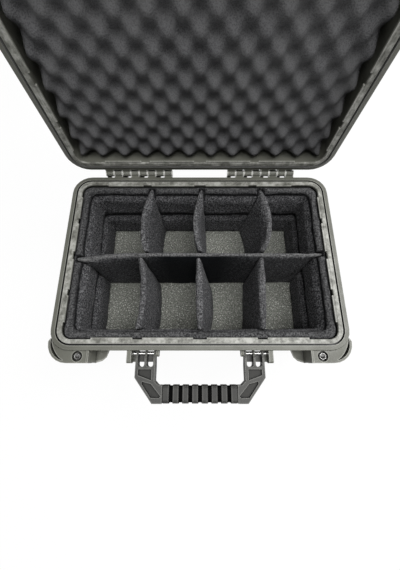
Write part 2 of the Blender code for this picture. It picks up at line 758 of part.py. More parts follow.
def lid_shell():
    panel_in = wall_inset(LID_H) + LID_PANEL_IN
    panel = ((panel_in + LID_PANEL_EDGE, LID_H + LID_PANEL_UP), (panel_in, LID_H))
    shell = outer_block("lid_shell", LID_H, LID_PLANE, -1, panel)
    add(shell, ears(LID_PLANE, -1), latch_lugs(), knuckles(LID_PLANE, -1, 0), lid_ledges())
    cut(shell, cavity(LID_H, LID_PLANE, -1), groove(LID_PLANE, -1, LID_GROOVE_DEEP))
    add(shell, tabs(LID_PLANE, 1))
    cut(shell, *ear_cuts(LID_PLANE, -1))
    bore_in = LATCH_MID - LATCH_W / 2 - TRIGGER_GAP - LATCH_LUG_W - CUT_OVER
    bore_out = LATCH_MID + LATCH_W / 2 + TRIGGER_GAP + LATCH_LUG_W
    cut(shell, hinge_bores(), pin_bores(LATCH_PIN_R + CLEAR, bore_in, bore_out, latch_pin_centre()))
    return shell


def hinge_pin(name, side):
    half = KNUCKLES * (KNUCKLE_W + KNUCKLE_GAP) / 2 - KNUCKLE_GAP
    middle = side * HINGE_MID
    return rod(name, "X", (HINGE_Y, HINGE_Z), HINGE_PIN_R, middle - half, middle + half, look=steel())


# Pressure valve

def valve_centre():
    return (0.0, BASE_H - VALVE_LEVEL)


def valve_face():
    """The x of the outer boss's flat end."""
    return RIM_W / 2 - wall_inset(VALVE_LEVEL - VALVE_BOSS_R) + VALVE_BOSS_OUT


def valve_back():
    """The x of the inner boss's flat end."""
    return RIM_W / 2 - wall_inset(VALVE_LEVEL + VALVE_BOSS_R, 1) - VALVE_BOSS_IN


def valve_flange():
    """The x of the flange's outer face."""
    return valve_face() + CLEAR + VALVE_SEAL_T + CLEAR + VALVE_FLANGE_T


def valve_boss():
    return rod("boss", "X", valve_centre(), VALVE_BOSS_R, valve_back(), valve_face(), EYE_STEPS)


def valve_bore(radius, low, high):
    return rod("hole", "X", valve_centre(), radius + CLEAR, low - CUT_OVER, high + CUT_OVER, EYE_STEPS)


def valve_hole():
    return valve_bore(VALVE_STEM_R, valve_back(), valve_face())


def valve_body():
    """Stem, flange and knob post in one turned piece."""
    face = valve_flange()
    seat = face - VALVE_FLANGE_T
    post = face + CLEAR + VALVE_KNOB_T - VALVE_KNOB_RECESS
    end = valve_back() - CLEAR - VALVE_NUT_T - VALVE_STEM_OVER
    profile = [(VALVE_VENT_R, end), (VALVE_STEM_R, end), (VALVE_STEM_R, seat), (VALVE_FLANGE_R, seat),
               (VALVE_FLANGE_R, face), (VALVE_POST_R, face), (VALVE_POST_R, post), (VALVE_VENT_R, post)]
    return turned("valve_body", profile, "X", valve_centre(), EYE_STEPS, dark_rubber())


def valve_seal():
    low = valve_face() + CLEAR
    high = low + VALVE_SEAL_T
    inner = VALVE_STEM_R + CLEAR
    profile = [(inner, low), (VALVE_SEAL_R, low), (VALVE_SEAL_R, high), (inner, high)]
    return turned("valve_seal", profile, "X", valve_centre(), EYE_STEPS, dark_rubber())


def valve_nut():
    high = valve_back() - CLEAR
    low = high - VALVE_NUT_T
    nut = rod("valve_nut", "X", valve_centre(), VALVE_NUT_R, low, high, 6, dark_rubber())
    return cut(nut, valve_bore(VALVE_STEM_R, low, high))


def valve_knob():
    """A ribbed knob that turns on the valve's post."""
    low = valve_flange() + CLEAR
    high = low + VALVE_KNOB_T
    y, z = valve_centre()
    outline = []
    for step in range(2 * VALVE_KNOB_RIBS):
        radius = VALVE_KNOB_R - step % 2 * VALVE_KNOB_RIB
        angle = math.pi * step / VALVE_KNOB_RIBS
        outline.append((y + radius * math.cos(angle), z + radius * math.sin(angle)))
    knob = prism("valve_knob", outline, "X", low, high, dark_rubber())
    return cut(knob, valve_bore(VALVE_POST_R, low, high))


# Handle

def arm_plan(side):
    """One arm from above, as reach in front of the rim against x."""
    start = -HANDLE_EYE_R
    inner_x = GRIP_HALF + CLEAR
    straight = HANDLE_REACH * ARM_STRAIGHT_SHARE
    points = [(ARM_IN, start), (ARM_OUT, start), (ARM_OUT, straight), (ARM_TOE, HANDLE_REACH),
              (inner_x, HANDLE_REACH), (inner_x, FINGER_REACH), (ARM_IN - FINGER_CORNER, FINGER_REACH),
              (ARM_IN, FINGER_REACH - FINGER_CORNER)]
    return [(side * x, front(reach)) for x, reach in points]


def arm_side():
    """The arms' side view: a round eye that tapers out to the full thickness."""
    y, z = handle_pin_centre()
    eye = circle((y, z), HANDLE_EYE_R, ROUND_STEPS, math.pi / 2, -math.pi)
    far = front(HANDLE_REACH) - CUT_OVER
    return eye + [(y - HANDLE_TAPER_BOTTOM, z - HANDLE_DOWN), (far, z - HANDLE_DOWN),
                  (far, z + HANDLE_UP), (y - HANDLE_TAPER_TOP, z + HANDLE_UP)]


def arm_slots(low, high):
    """Two slots between each arm's ribs: floored under the pin and open at their far ends."""
    width = (ARM_OUT - ARM_IN - ARM_RIBS * ARM_RIB) / (ARM_RIBS - 1)
    start = -HANDLE_EYE_R - CUT_OVER
    open_at, end = (HANDLE_REACH * share for share in ARM_SLOT_SHARES)
    parts = []
    for side in (1, -1):
        for index in range(ARM_RIBS - 1):
            near = ARM_IN + ARM_RIB + index * (width + ARM_RIB)
            far = near + width
            plan = [(near, start), (far, start)]
            for x, turn in ((far - ARM_SLOT_ROUND, 0.0), (near + ARM_SLOT_ROUND, math.pi / 2)):
                plan += circle((x, end - ARM_SLOT_ROUND), ARM_SLOT_ROUND, 3, turn, math.pi / 2)
            parts.append(prism("slot", [(side * x, front(reach)) for x, reach in plan], "Z", low, high))
    floor = handle_pin_centre()[1] - ARM_SLOT_SINK
    depth = [(front(start - CUT_OVER), floor), (front(open_at), floor), (front(open_at), low - CUT_OVER),
             (front(end + CUT_OVER), low - CUT_OVER), (front(end + CUT_OVER), high + CUT_OVER),
             (front(start - CUT_OVER), high + CUT_OVER)]
    return keep_inside(gather(parts), prism("depth", depth, "X", -ARM_OUT, ARM_OUT))


def arm_pockets(low, high):
    """The two shallow pockets on each arm's upper face."""
    near, outer_to, inner_to = (HANDLE_REACH * share for share in ROOT_POCKET_SHARES)
    parts = []
    root = [(ARM_IN + POCKET_WALL, near), (ARM_OUT - POCKET_WALL, near),
            (ARM_OUT - POCKET_WALL, outer_to), (ARM_IN + POCKET_WALL, inner_to)]
    toe = [(mixed(GRIP_HALF, ARM_OUT, across), HANDLE_REACH * out) for across, out in TOE_POCKET_SHARES]
    for side in (1, -1):
        for plan in (root, toe):
            parts.append(prism("pocket", [(side * x, front(reach)) for x, reach in plan], "Z", low, high))
    return gather(parts)


def bar_box():
    """The bar inside the grip: its lowest and highest corners."""
    z = handle_pin_centre()[1]
    half = GRIP_HALF + BAR_LAP
    low = (-half, front(GRIP_REACH_OUT - GRIP_CORE_WALL), z - HANDLE_DOWN + GRIP_CORE_WALL)
    high = (half, front(GRIP_REACH_IN + GRIP_CORE_WALL), z + HANDLE_UP - GRIP_CORE_WALL)
    return low, high


def handle_frame():
    z = handle_pin_centre()[1]
    low = z - HANDLE_DOWN - CUT_OVER
    high = z + HANDLE_UP + CUT_OVER
    arms = gather([prism("arm", arm_plan(side), "Z", low, high) for side in (1, -1)])
    arms.name = "handle_frame"
    arms.data.materials.append(handle_plastic())
    keep_inside(arms, prism("side", arm_side(), "X", -ARM_OUT - CUT_OVER, ARM_OUT + CUT_OVER))
    add(arms, box("bar", *bar_box()))
    cut(arms, arm_slots(low, high), arm_pockets(z + HANDLE_UP - POCKET_DEEP, high),
        pin_bores(HANDLE_PIN_R + CLEAR, ARM_IN - CUT_OVER, ARM_OUT + CUT_OVER, handle_pin_centre()))
    return arms


def grip_ring(x, shrink):
    """The grip's outer section at x."""
    z = handle_pin_centre()[1]
    low_y = front(GRIP_REACH_OUT) + shrink
    high_y = front(GRIP_REACH_IN) - shrink
    low_z = z - HANDLE_DOWN - GRIP_OVER + shrink
    high_z = z + HANDLE_UP + GRIP_OVER - shrink
    ring = []
    corners = ((high_y, high_z), (low_y, high_z), (low_y, low_z), (high_y, low_z))
    for quadrant, (y, level) in enumerate(corners):
        inward_y = -GRIP_ROUND if y == high_y else GRIP_ROUND
        inward_z = -GRIP_ROUND if level == high_z else GRIP_ROUND
        corner = (y + inward_y, level + inward_z)
        for a, b in circle(corner, GRIP_ROUND, 2, math.pi / 2 * quadrant, math.pi / 2):
            ring.append((x, a, b))
    return ring


def handle_grip():
    """A ribbed rubber sleeve with seven grooves round it."""
    rings = [grip_ring(-GRIP_HALF, EDGE), grip_ring(-GRIP_HALF + EDGE, 0.0)]
    for index in range(GRIP_GROOVES):
        middle = (index - (GRIP_GROOVES - 1) / 2) * GRIP_PITCH
        low = middle - GRIP_GROOVE_W / 2
        high = middle + GRIP_GROOVE_W / 2
        rings += [grip_ring(low, 0.0), grip_ring(low + GRIP_GROOVE_EDGE, GRIP_GROOVE_DEEP),
                  grip_ring(high - GRIP_GROOVE_EDGE, GRIP_GROOVE_DEEP), grip_ring(high, 0.0)]
    rings += [grip_ring(GRIP_HALF - EDGE, 0.0), grip_ring(GRIP_HALF, EDGE)]
    grip = loft("handle_grip", rings, dark_rubber())
    low, high = bar_box()
    tunnel_low = (low[0], low[1] - CLEAR, low[2] - CLEAR)
    tunnel_high = (high[0], high[1] + CLEAR, high[2] + CLEAR)
    return cut(grip, box("tunnel", tunnel_low, tunnel_high))


def handle_pin(name, side):
    low, high = sorted((side * (ARM_IN - LUG_W), side * (CHEEK_OUT - PIN_BLIND - CLEAR)))
    return rod(name, "X", handle_pin_centre(), HANDLE_PIN_R, low, high, look=steel())


# Latches

def latch_outline():
    """A latch's side view as reach and level above the lid's plane."""
    back_face = LATCH_FACE - LATCH_PLATE
    hook_top = -RIM_GAP - FLANGE_T - HOOK_GAP
    hook_foot = hook_top - HOOK_T
    eye = circle((LATCH_PIN_REACH, LATCH_PIN_LEVEL), LATCH_EYE_R, ROUND_STEPS, -math.pi / 2, -math.pi)
    top = LATCH_PIN_LEVEL + LATCH_EYE_R
    outline = [(LATCH_FACE - HOOK_NIB, top), (LATCH_FACE, top - HOOK_NIB), (LATCH_FACE, -LATCH_FOOT),
               (LATCH_FACE + LATCH_LIP_OUT, -LATCH_LIP),
               (LATCH_FACE + LATCH_LIP_OUT - LATCH_LIP_T, -LATCH_LIP),
               (back_face, -LATCH_FOOT), (back_face, hook_foot), (HOOK_NIB - HOOK_REACH, hook_foot),
               (-HOOK_REACH, hook_foot + HOOK_NIB), (-HOOK_REACH, hook_top), (back_face, hook_top),
               (back_face, LATCH_PIN_LEVEL - LATCH_EYE_R)]
    return [(front(reach), LID_PLANE + level) for reach, level in outline + eye]


def latch_body(name, side):
    """Face plate, eye and hook, with a window for the trigger and a seat for its spring."""
    middle = side * LATCH_MID
    half = LATCH_W / 2
    back_face = LATCH_FACE - LATCH_PLATE
    hook_top = -RIM_GAP - FLANGE_T - HOOK_GAP
    body = prism(name, latch_outline(), "X", middle - half, middle + half, shell_plastic())
    window = TRIGGER_W / 2 + TRIGGER_GAP
    cheeks = []
    for end in (1, -1):
        low, high = sorted((middle + end * window, middle + end * (window + TRIGGER_CHEEK_W)))
        cheek_low = (low, front(back_face + EDGE), LID_PLANE + TRIGGER_PIN_LEVEL - TRIGGER_CHEEK_R)
        cheek_high = (high, front(TRIGGER_CHEEK_IN), LID_PLANE + TRIGGER_PIN_LEVEL + TRIGGER_CHEEK_R)
        cheeks.append(box("cheek", cheek_low, cheek_high))
    seat_low = (middle - SPRING_SEAT_W / 2, front(SPRING_SEAT + SPRING_SEAT_T), LID_PLANE + hook_top - EDGE)
    seat_high = (middle + SPRING_SEAT_W / 2, front(SPRING_SEAT), LID_PLANE + SPRING_SEAT_TOP)
    seat = box("seat", seat_low, seat_high)
    add(body, gather(cheeks + [seat]))
    window_low = (middle - window, front(LATCH_FACE + CUT_OVER), LID_PLANE - TRIGGER_FOOT - TRIGGER_FOOT_GAP)
    window_high = (middle + window, front(back_face - EDGE), LID_PLANE + TRIGGER_TOP + TRIGGER_GAP)
    opening = box("opening", window_low, window_high)
    reach = window + TRIGGER_CHEEK_W + CUT_OVER
    pin_hole = rod("bore", "X", trigger_pin_centre(), TRIGGER_PIN_R + CLEAR, middle - reach, middle + reach)
    eye_hole = rod("bore", "X", latch_pin_centre(), LATCH_PIN_R + CLEAR,
                   middle - half - CUT_OVER, middle + half + CUT_OVER)
    return cut(body, opening, pin_hole, eye_hole)


def trigger_pin_centre():
    return (front(TRIGGER_PIN_REACH), LID_PLANE + TRIGGER_PIN_LEVEL)


def latch_trigger(name, side):
    """The press trigger: a plate in the latch's window with an eye behind it."""
    middle = side * LATCH_MID
    face = LATCH_FACE + TRIGGER_PROUD
    back_face = face - TRIGGER_T
    eye = circle((TRIGGER_PIN_REACH, TRIGGER_PIN_LEVEL), TRIGGER_EYE_R, ROUND_STEPS, -math.pi / 2, -math.pi)
    outline = [(back_face, TRIGGER_TOP), (face - EDGE, TRIGGER_TOP), (face, TRIGGER_TOP - EDGE),
               (face, EDGE - TRIGGER_FOOT), (face - EDGE, -TRIGGER_FOOT), (back_face, -TRIGGER_FOOT),
               (back_face, TRIGGER_PIN_LEVEL - TRIGGER_EYE_R)]
    side_view = [(front(reach), LID_PLANE + level) for reach, level in outline + eye]
    half = TRIGGER_W / 2
    trigger = prism(name, side_view, "X", middle - half, middle + half, shell_plastic())
    return cut(trigger, rod("bore", "X", trigger_pin_centre(), TRIGGER_PIN_R + CLEAR,
                            middle - half - CUT_OVER, middle + half + CUT_OVER))


def trigger_pin(name, side):
    half = TRIGGER_W / 2 + TRIGGER_GAP + TRIGGER_CHEEK_W - CLEAR
    middle = side * LATCH_MID
    return rod(name, "X", trigger_pin_centre(), TRIGGER_PIN_R, middle - half, middle + half, look=steel())


def trigger_spring(name, side):
    """A small coil spring between its seat and the trigger's back."""
    middle = side * LATCH_MID
    start = SPRING_SEAT + SPRING_SEAT_T + CLEAR + SPRING_WIRE_R
    end = LATCH_FACE + TRIGGER_PROUD - TRIGGER_T - CLEAR - SPRING_WIRE_R
    level = LID_PLANE - TRIGGER_FOOT + SPRING_R + CLEAR
    steps = SPRING_TURNS * SPRING_TURN_STEPS
    rings = []
    for step in range(steps + 1):
        angle = 2 * math.pi * step / SPRING_TURN_STEPS
        outward = Vector((math.cos(angle), 0, math.sin(angle)))
        centre = Vector((middle, front(mixed(start, end, step / steps)), level)) + outward * SPRING_R
        ring = []
        for side_step in range(SPRING_SIDES):
            around = 2 * math.pi * side_step / SPRING_SIDES
            spoke = outward * math.cos(around) + Vector((0, math.sin(around), 0))
            ring.append(centre + spoke * SPRING_WIRE_R)
        rings.append(ring)
    return loft(name, rings, steel())


def latch_pin(name, side):
    half = LATCH_W / 2 + TRIGGER_GAP + LATCH_LUG_W - CLEAR
    middle = side * LATCH_MID
    return rod(name, "X", latch_pin_centre(), LATCH_PIN_R, middle - half, middle + half, look=steel())


# Seal, foam and padding

def lid_seal():
    """A rubber ring in the lid's groove that reaches into the base's groove."""
    near = FLANGE_W + CLEAR
    far = BAND_AT - CLEAR
    middle = (near + far) / 2
    deep = LID_GROOVE_DEEP - CLEAR
    profile = [(near, deep), (near, -SEAL_PROUD + EDGE), (middle, -SEAL_PROUD), (far, -SEAL_PROUD + EDGE),
               (far, deep)]
    return loft("lid_seal", [rim_ring(inset, LID_PLANE + level) for inset, level in profile], dark_rubber(),
                closed=True)


def foam_relief(half_x, half_y):
    """The space in front of the lid foam's waves, with a crest or a hollow at each grid point."""
    steps_x = 2 * LID_FOAM_X_WAVES + 2
    steps_y = 2 * LID_FOAM_Y_WAVES + 2
    points = []
    for along in range(steps_x + 1):
        x = half_x * (along - steps_x / 2) / LID_FOAM_X_WAVES
        for across in range(steps_y + 1):
            y = half_y * (across - steps_y / 2) / LID_FOAM_Y_WAVES
            deep = LID_FOAM_DEEP * ((along + across) % 2)
            points.append((x, y, LID_PLANE + LID_FOAM_LEVEL + deep))
    count = len(points)
    points += [(x, y, LID_PLANE + LID_FOAM_LEVEL - 2 * CUT_OVER) for x, y, z in points]
    row = steps_y + 1
    faces = []
    for along in range(steps_x):
        for across in range(steps_y):
            corner = along * row + across
            quad = (corner, corner + row, corner + row + 1, corner + 1)
            faces.append(quad)
            faces.append(tuple(count + index for index in reversed(quad)))
    edge = [along * row for along in range(steps_x + 1)]
    edge += [steps_x * row + across for across in range(1, row)]
    edge += [along * row + steps_y for along in range(steps_x - 1, -1, -1)]
    edge += [across for across in range(steps_y - 1, 0, -1)]
    for near, far in zip(edge, edge[1:] + edge[:1]):
        faces.append((near, far, count + far, count + near))
    return solid("relief", points, faces)


def lid_foam():
    """The foam slab inside the lid, with waves on its open face."""
    top = LID_PLANE + LID_H - WALL - CLEAR
    low = LID_PLANE + LID_FOAM_LEVEL - CUT_OVER
    rings = [rim_ring(LID_FOAM_IN, height, LINER_LEAST_R) for height in (low, top)]
    slab = loft("lid_foam", rings, bare_foam())
    return cut(slab, foam_relief(RIM_W / 2 - LID_FOAM_IN, RIM_D / 2 - LID_FOAM_IN))


def liner_envelope(height):
    """How far in the liner's inner face stands at a height, at the crown of a tier."""
    share = (height - FLOOR_Z) / (BASE_H - LINER_DROP - FLOOR_Z)
    return mixed(LINER_FOOT_IN, LINER_TOP_IN, share)


def liner_wall():
    """The padded wall liner: a rolled top over two swelling tiers, with sewn seams between."""
    top = BASE_H - LINER_DROP
    first_seam = BASE_H - LINER_SEAMS[0]
    outer = [(wall_inset(BASE_H) + FOOT_ROUND + CLEAR, FLOOR_Z), (LINER_BACK, FLOOR_Z + FOOT_ROUND),
             (LINER_BACK, BASE_H - VALVE_LEVEL + VALVE_BOSS_R)]
    roll = [(mixed(LINER_OUT, LINER_TOP_IN, across), mixed(first_seam, top, up))
            for across, up in LINER_ROLL_SHARES]
    bounds = [BASE_H - seam for seam in LINER_SEAMS] + [FLOOR_Z]
    inner = [(liner_envelope(first_seam) - LINER_SEAM_DEEP, first_seam)]
    for high, low in zip(bounds, bounds[1:]):
        for share, draw in TIER_SHARES:
            height = mixed(high, low, share)
            inner.append((liner_envelope(height) - LINER_SEAM_DEEP * draw, height))
        inner.append((liner_envelope(low) - LINER_SEAM_DEEP, low))
    rings = [rim_ring(inset, height, LINER_LEAST_R) for inset, height in outer + roll + inner]
    liner = loft("liner_wall", rings, loop_fabric(), closed=True)
    return cut(liner, long_notches(), back_notches())


def floor_pad():
    """The bare foam slab on the floor, inside the liner."""
    inset = LINER_FOOT_IN + CLEAR
    profile = [(inset, FLOOR_Z), (inset, PAD_TOP - FLOOR_PAD_EDGE), (inset + FLOOR_PAD_EDGE, PAD_TOP)]
    rings = [rim_ring(inset, height, LINER_LEAST_R) for inset, height in profile]
    return loft("floor_pad", rings, bare_foam())


def through(ends, share):
    """A smooth curve through three values at shares 0, a half and 1."""
    first, middle, last = ends
    bow = 4 * share * (1 - share)
    return first * (1 - share) * (1 - 2 * share) + middle * bow + last * share * (2 * share - 1)


def divider_height(share):
    return mixed(DIVIDER_FOOT, DIVIDER_TOP, share)


def divider_half(share, along):
    """Half a divider's thickness: a section share, with a little swell at mid length."""
    return DIVIDER_T * share * (1 + DIVIDER_SWELL_SHARE * math.sin(math.pi * along))


def divider_end(up_share, tucked):
    """How far in from the rim a divider's end stands; a tucked one reaches into the liner's roll."""
    if tucked and up_share >= TUCK_SHARE:
        return TUCK_IN
    return liner_envelope(divider_height(up_share)) + CLEAR


def divider_stations(steps, tucked_ends):
    """Shares along a divider for its rings, with one more close to each tucked end."""
    shares = [step / steps for step in range(steps + 1)]
    if tucked_ends:
        shares.insert(1, TUCK_ROOT_SHARE)
    if tucked_ends > 1:
        shares.insert(-1, 1 - TUCK_ROOT_SHARE)
    return shares


def long_middle(x, up_share):
    """The long divider's middle plane: it leans back and curls forward at its left end."""
    straight = mixed(LONG_Y_FOOT, LONG_Y_TOP, up_share)
    length = RIM_W * LONG_CURL_SHARE
    past = min(1.0, max(0.0, -x - (RIM_W / 2 - LINER_TOP_IN - length)) / length)
    return straight - LONG_CURL * up_share * past ** 2


def long_half(share, along):
    """Half the long divider's thickness: it gets thinner from left to right."""
    return divider_half(share, along) * mixed(*LONG_TAPER_SHARES, along)


def long_divider():
    rings = []
    for along in divider_stations(LONG_STEPS, 2):
        tucked = along in (0, 1)
        ring = []
        for side_share, up_share in SECTION_SHARES:
            end = RIM_W / 2 - divider_end(up_share, tucked)
            x = mixed(-end, end, along)
            y = long_middle(x, up_share) + long_half(side_share, along)
            ring.append((x, y, divider_height(up_share)))
        rings.append(ring)
    return loft("divider_long", rings, loop_fabric())


def short_x(tops, feet, along, up_share):
    return RIM_W / 2 * mixed(through(feet, along), through(tops, along), up_share)


def short_divider(name, tops, feet, row):
    """A bowed divider from the liner's wall in to the long divider; row is 1 behind it, -1 in front."""
    rings = []
    face = DIVIDER_T / 2 * (1 + DIVIDER_SWELL_SHARE) + CLEAR
    for along in divider_stations(DIVIDER_STEPS, 1 if row > 0 else 0):
        ring = []
        for side_share, up_share in SECTION_SHARES:
            outer = row * (RIM_D / 2 - divider_end(up_share, row > 0 and along == 0))
            lean = LONG_Y_TOP if row > 0 else mixed(LONG_Y_FOOT, LONG_Y_TOP, up_share)
            x = short_x(tops, feet, along, up_share) + divider_half(side_share, along)
            ring.append((x, mixed(outer, lean + row * face, along), divider_height(up_share)))
        rings.append(ring)
    return loft(name, rings, loop_fabric())


def notch_levels():
    return divider_height(TUCK_FOOT_SHARE) - CLEAR, BASE_H


def long_notches():
    """Slots through the liner's roll for the long divider's two tucked ends."""
    parts = []
    low_z, high_z = notch_levels()
    for side, along in ((-1, 0), (1, 1)):
        half = long_half(SECTION_SHARES[2][0], along)
        far = RIM_W / 2 - NOTCH_OUT
        near = RIM_W / 2 - LINER_TOP_IN - LINER_SEAM_DEEP - CUT_OVER
        middles = [long_middle(side * x, up) for x in (far, near) for up in (TUCK_FOOT_SHARE, 1)]
        low_x, high_x = sorted((side * near, side * far))
        parts.append(box("notch", (low_x, min(middles) + half - CLEAR, low_z),
                         (high_x, max(middles) - half + CLEAR, high_z)))
    return gather(parts)


def back_notches():
    """Slots through the liner's roll for the tucked ends of the back row's dividers."""
    parts = []
    low_z, high_z = notch_levels()
    for tops, feet in BACK_DIVIDER_SHARES:
        half = divider_half(SECTION_SHARES[2][0], TUCK_ROOT_SHARE)
        middles = [short_x(tops, feet, along, up)
                   for along in (0, TUCK_ROOT_SHARE) for up in (TUCK_FOOT_SHARE, 1)]
        low = (min(middles) + half - CLEAR, RIM_D / 2 - LINER_TOP_IN - LINER_SEAM_DEEP - CUT_OVER, low_z)
        high = (max(middles) - half + CLEAR, RIM_D / 2 - NOTCH_OUT, high_z)
        parts.append(box("notch", low, high))
    return gather(parts)


# Assembly

def hang(pieces, home, parent=None, parent_home=None, turn=0.0):
    """Hang pieces on an empty at a pin, then turn it about X."""
    empty = bpy.data.objects.new(pieces[0].name + "_pivot", None)
    bpy.context.scene.collection.objects.link(empty)
    offset = Vector(home)
    if parent:
        empty.parent = parent
        offset -= Vector(parent_home)
    empty.location = offset
    empty.rotation_euler = (turn, 0, 0)
    for piece in pieces:
        piece.data.transform(Matrix.Translation(-Vector(home)))
        piece.parent = empty
    return empty


def smooth(piece):
    piece.data.shade_smooth()
    piece.data.set_sharp_from_angle(angle=SHARP)


def build_base():
    base_shell()
    liner_wall()
    floor_pad()
    valve_body()
    valve_seal()
    valve_nut()
    for side, name in ((-1, "left"), (1, "right")):
        bush("padlock_bush_base_" + name, side, BASE_H, 1)
        hinge_pin("hinge_pin_" + name, side)
        handle_pin("handle_pin_" + name, side)
    hang([valve_knob()], (valve_face(), 0, BASE_H - VALVE_LEVEL))


def build_handle():
    y, z = handle_pin_centre()
    hang([handle_frame(), handle_grip()], (0, y, z))


def build_dividers():
    long_divider()
    for row, word, table in ((1, "back", BACK_DIVIDER_SHARES), (-1, "front", FRONT_DIVIDER_SHARES)):
        for index, (tops, feet) in enumerate(table):
            short_divider("divider_%s_%d" % (word, index + 1), tops, feet, row)


def build_lid():
    hinge = (0, HINGE_Y, HINGE_Z)
    carried = [lid_shell(), lid_seal(), lid_foam()]
    for side, name in ((-1, "left"), (1, "right")):
        carried.append(bush("padlock_bush_lid_" + name, side, LID_PLANE, -1))
        carried.append(latch_pin("latch_pin_" + name, side))
    lid = hang(carried, hinge, turn=-LID_OPEN)
    for side, name in ((-1, "left"), (1, "right")):
        pin = (side * LATCH_MID, *latch_pin_centre())
        pieces = [latch_body("latch_body_" + name, side), trigger_pin("trigger_pin_" + name, side),
                  trigger_spring("trigger_spring_" + name, side)]
        latch = hang(pieces, pin, lid, hinge, -LATCH_SWUNG)
        pivot = (side * LATCH_MID, *trigger_pin_centre())
        hang([latch_trigger("latch_trigger_" + name, side)], pivot, latch, pin)


for old in list(bpy.data.objects):
    bpy.data.objects.remove(old)
build_base()
build_handle()
build_dividers()
build_lid()
for piece in bpy.data.objects:
    if piece.type == "MESH":
        smooth(piece)
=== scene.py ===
"""Looks of the hard carrying case: finishes, padded fabric, foam, floor, light and camera."""
import json
import math

import bmesh
import bpy
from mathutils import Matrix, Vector, noise

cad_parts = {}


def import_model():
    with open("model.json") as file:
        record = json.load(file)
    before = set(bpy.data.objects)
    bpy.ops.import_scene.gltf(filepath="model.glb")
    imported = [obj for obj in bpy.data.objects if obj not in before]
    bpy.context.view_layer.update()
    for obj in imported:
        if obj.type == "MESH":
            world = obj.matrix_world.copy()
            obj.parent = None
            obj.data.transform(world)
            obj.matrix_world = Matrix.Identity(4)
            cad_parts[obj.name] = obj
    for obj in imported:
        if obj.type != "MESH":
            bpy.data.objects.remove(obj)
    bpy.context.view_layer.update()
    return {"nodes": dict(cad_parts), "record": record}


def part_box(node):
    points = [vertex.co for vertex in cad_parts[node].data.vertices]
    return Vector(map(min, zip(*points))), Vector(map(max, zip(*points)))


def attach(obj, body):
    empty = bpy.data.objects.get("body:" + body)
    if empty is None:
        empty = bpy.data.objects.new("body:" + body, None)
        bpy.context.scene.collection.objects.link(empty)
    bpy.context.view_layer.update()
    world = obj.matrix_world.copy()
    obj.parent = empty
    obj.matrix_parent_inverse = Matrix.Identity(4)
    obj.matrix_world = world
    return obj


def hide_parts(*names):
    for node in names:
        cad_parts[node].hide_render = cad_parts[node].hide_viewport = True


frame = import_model()

MM = 0.001
DEGREE = math.pi / 180

# Camera, fitted to the rim, the grip and the hinges in the photograph
LENS = 16.55
CAMERA_PLACE = (0.0, -152.2 * MM, 484.3 * MM)
CAMERA_TILT = 16.81 * DEGREE
CAMERA_NEAR = 10 * MM

# Rim and shells, as in the solids
RIM_W = 400 * MM
RIM_D = 270 * MM
RIM_R = 28 * MM
BASE_H = 132 * MM
CLEAR = 0.3 * MM
GROOVE_NEAR = 6.2 * MM
GROOVE_FAR = 8.6 * MM
GROOVE_DEEP = 7 * MM
BAND_START = GROOVE_FAR + 0.3 * MM
BAND_END = 16.5 * MM
BAND_UNDER = 2.5 * MM
BAND_OVER = 4 * MM
RIM_BLUR = 0.2 * MM

# Hinges: the space behind the rim where their edges get painted glints
HINGE_BACK = RIM_D / 2 + 0.5 * MM
HINGE_UNDER = 16 * MM
HINGE_OVER = 14 * MM
HINGE_BLUR = 1 * MM

# Handle: the floor of its pockets and the grooves of its grip, as in the solids, where painted shade goes
POCKET_FLOOR = BASE_H - 8 * MM
POCKET_BAND = 0.2 * MM
GRIP_PITCH = 12.35 * MM
GRIP_GROOVE_W = 4.5 * MM
GRIP_END_SHARES = (3.4, 3.5)
GRIP_LIP_NEAR = 0.7 * MM
GRIP_LIP_FAR = 1.7 * MM
GRIP_FADE = 0.5 * MM
GRIP_BLUR = 0.2 * MM

# Liner: how far in from the rim its faces stand, its seams and the steps of its mesh
LINER_OUT = 14 * MM
LINER_BACK = 16.8 * MM
LINER_SHOULDER = BASE_H - 27 * MM
LINER_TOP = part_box("liner_wall")[1].z
LINER_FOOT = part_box("liner_wall")[0].z
LINER_TOP_IN = 28 * MM
LINER_FOOT_IN = 30.9 * MM
LINER_SEAMS = (BASE_H - 11 * MM, BASE_H - 66 * MM)
LINER_SLIM = 1 * MM
LINER_SEAM_DEEP = 4.6 * MM
LINER_SEAM_HALF = 1.1 * MM
LINER_ROLL = 5.6 * MM
LINER_ROLL_W = 12.4 * MM
LINER_STEP = 4 * MM
LINER_CORNER = 9 * MM
LINER_TURNS = 10
LINER_SOLE_IN = LINER_OUT + 11 * MM
LINER_HEEL = LINER_FOOT + 9 * MM
LINER_BACK_STEPS = 4
LINER_LEAN_SHARE = 0.6
LINER_ROLL_FOOT = LINER_TOP - LINER_ROLL - 0.4 * MM
LINER_ROLL_STEPS = 8
LINER_DRAW = 2.2 * MM
LINER_DRAW_RUN = 14 * MM
STEADY_SHARE = 0.7

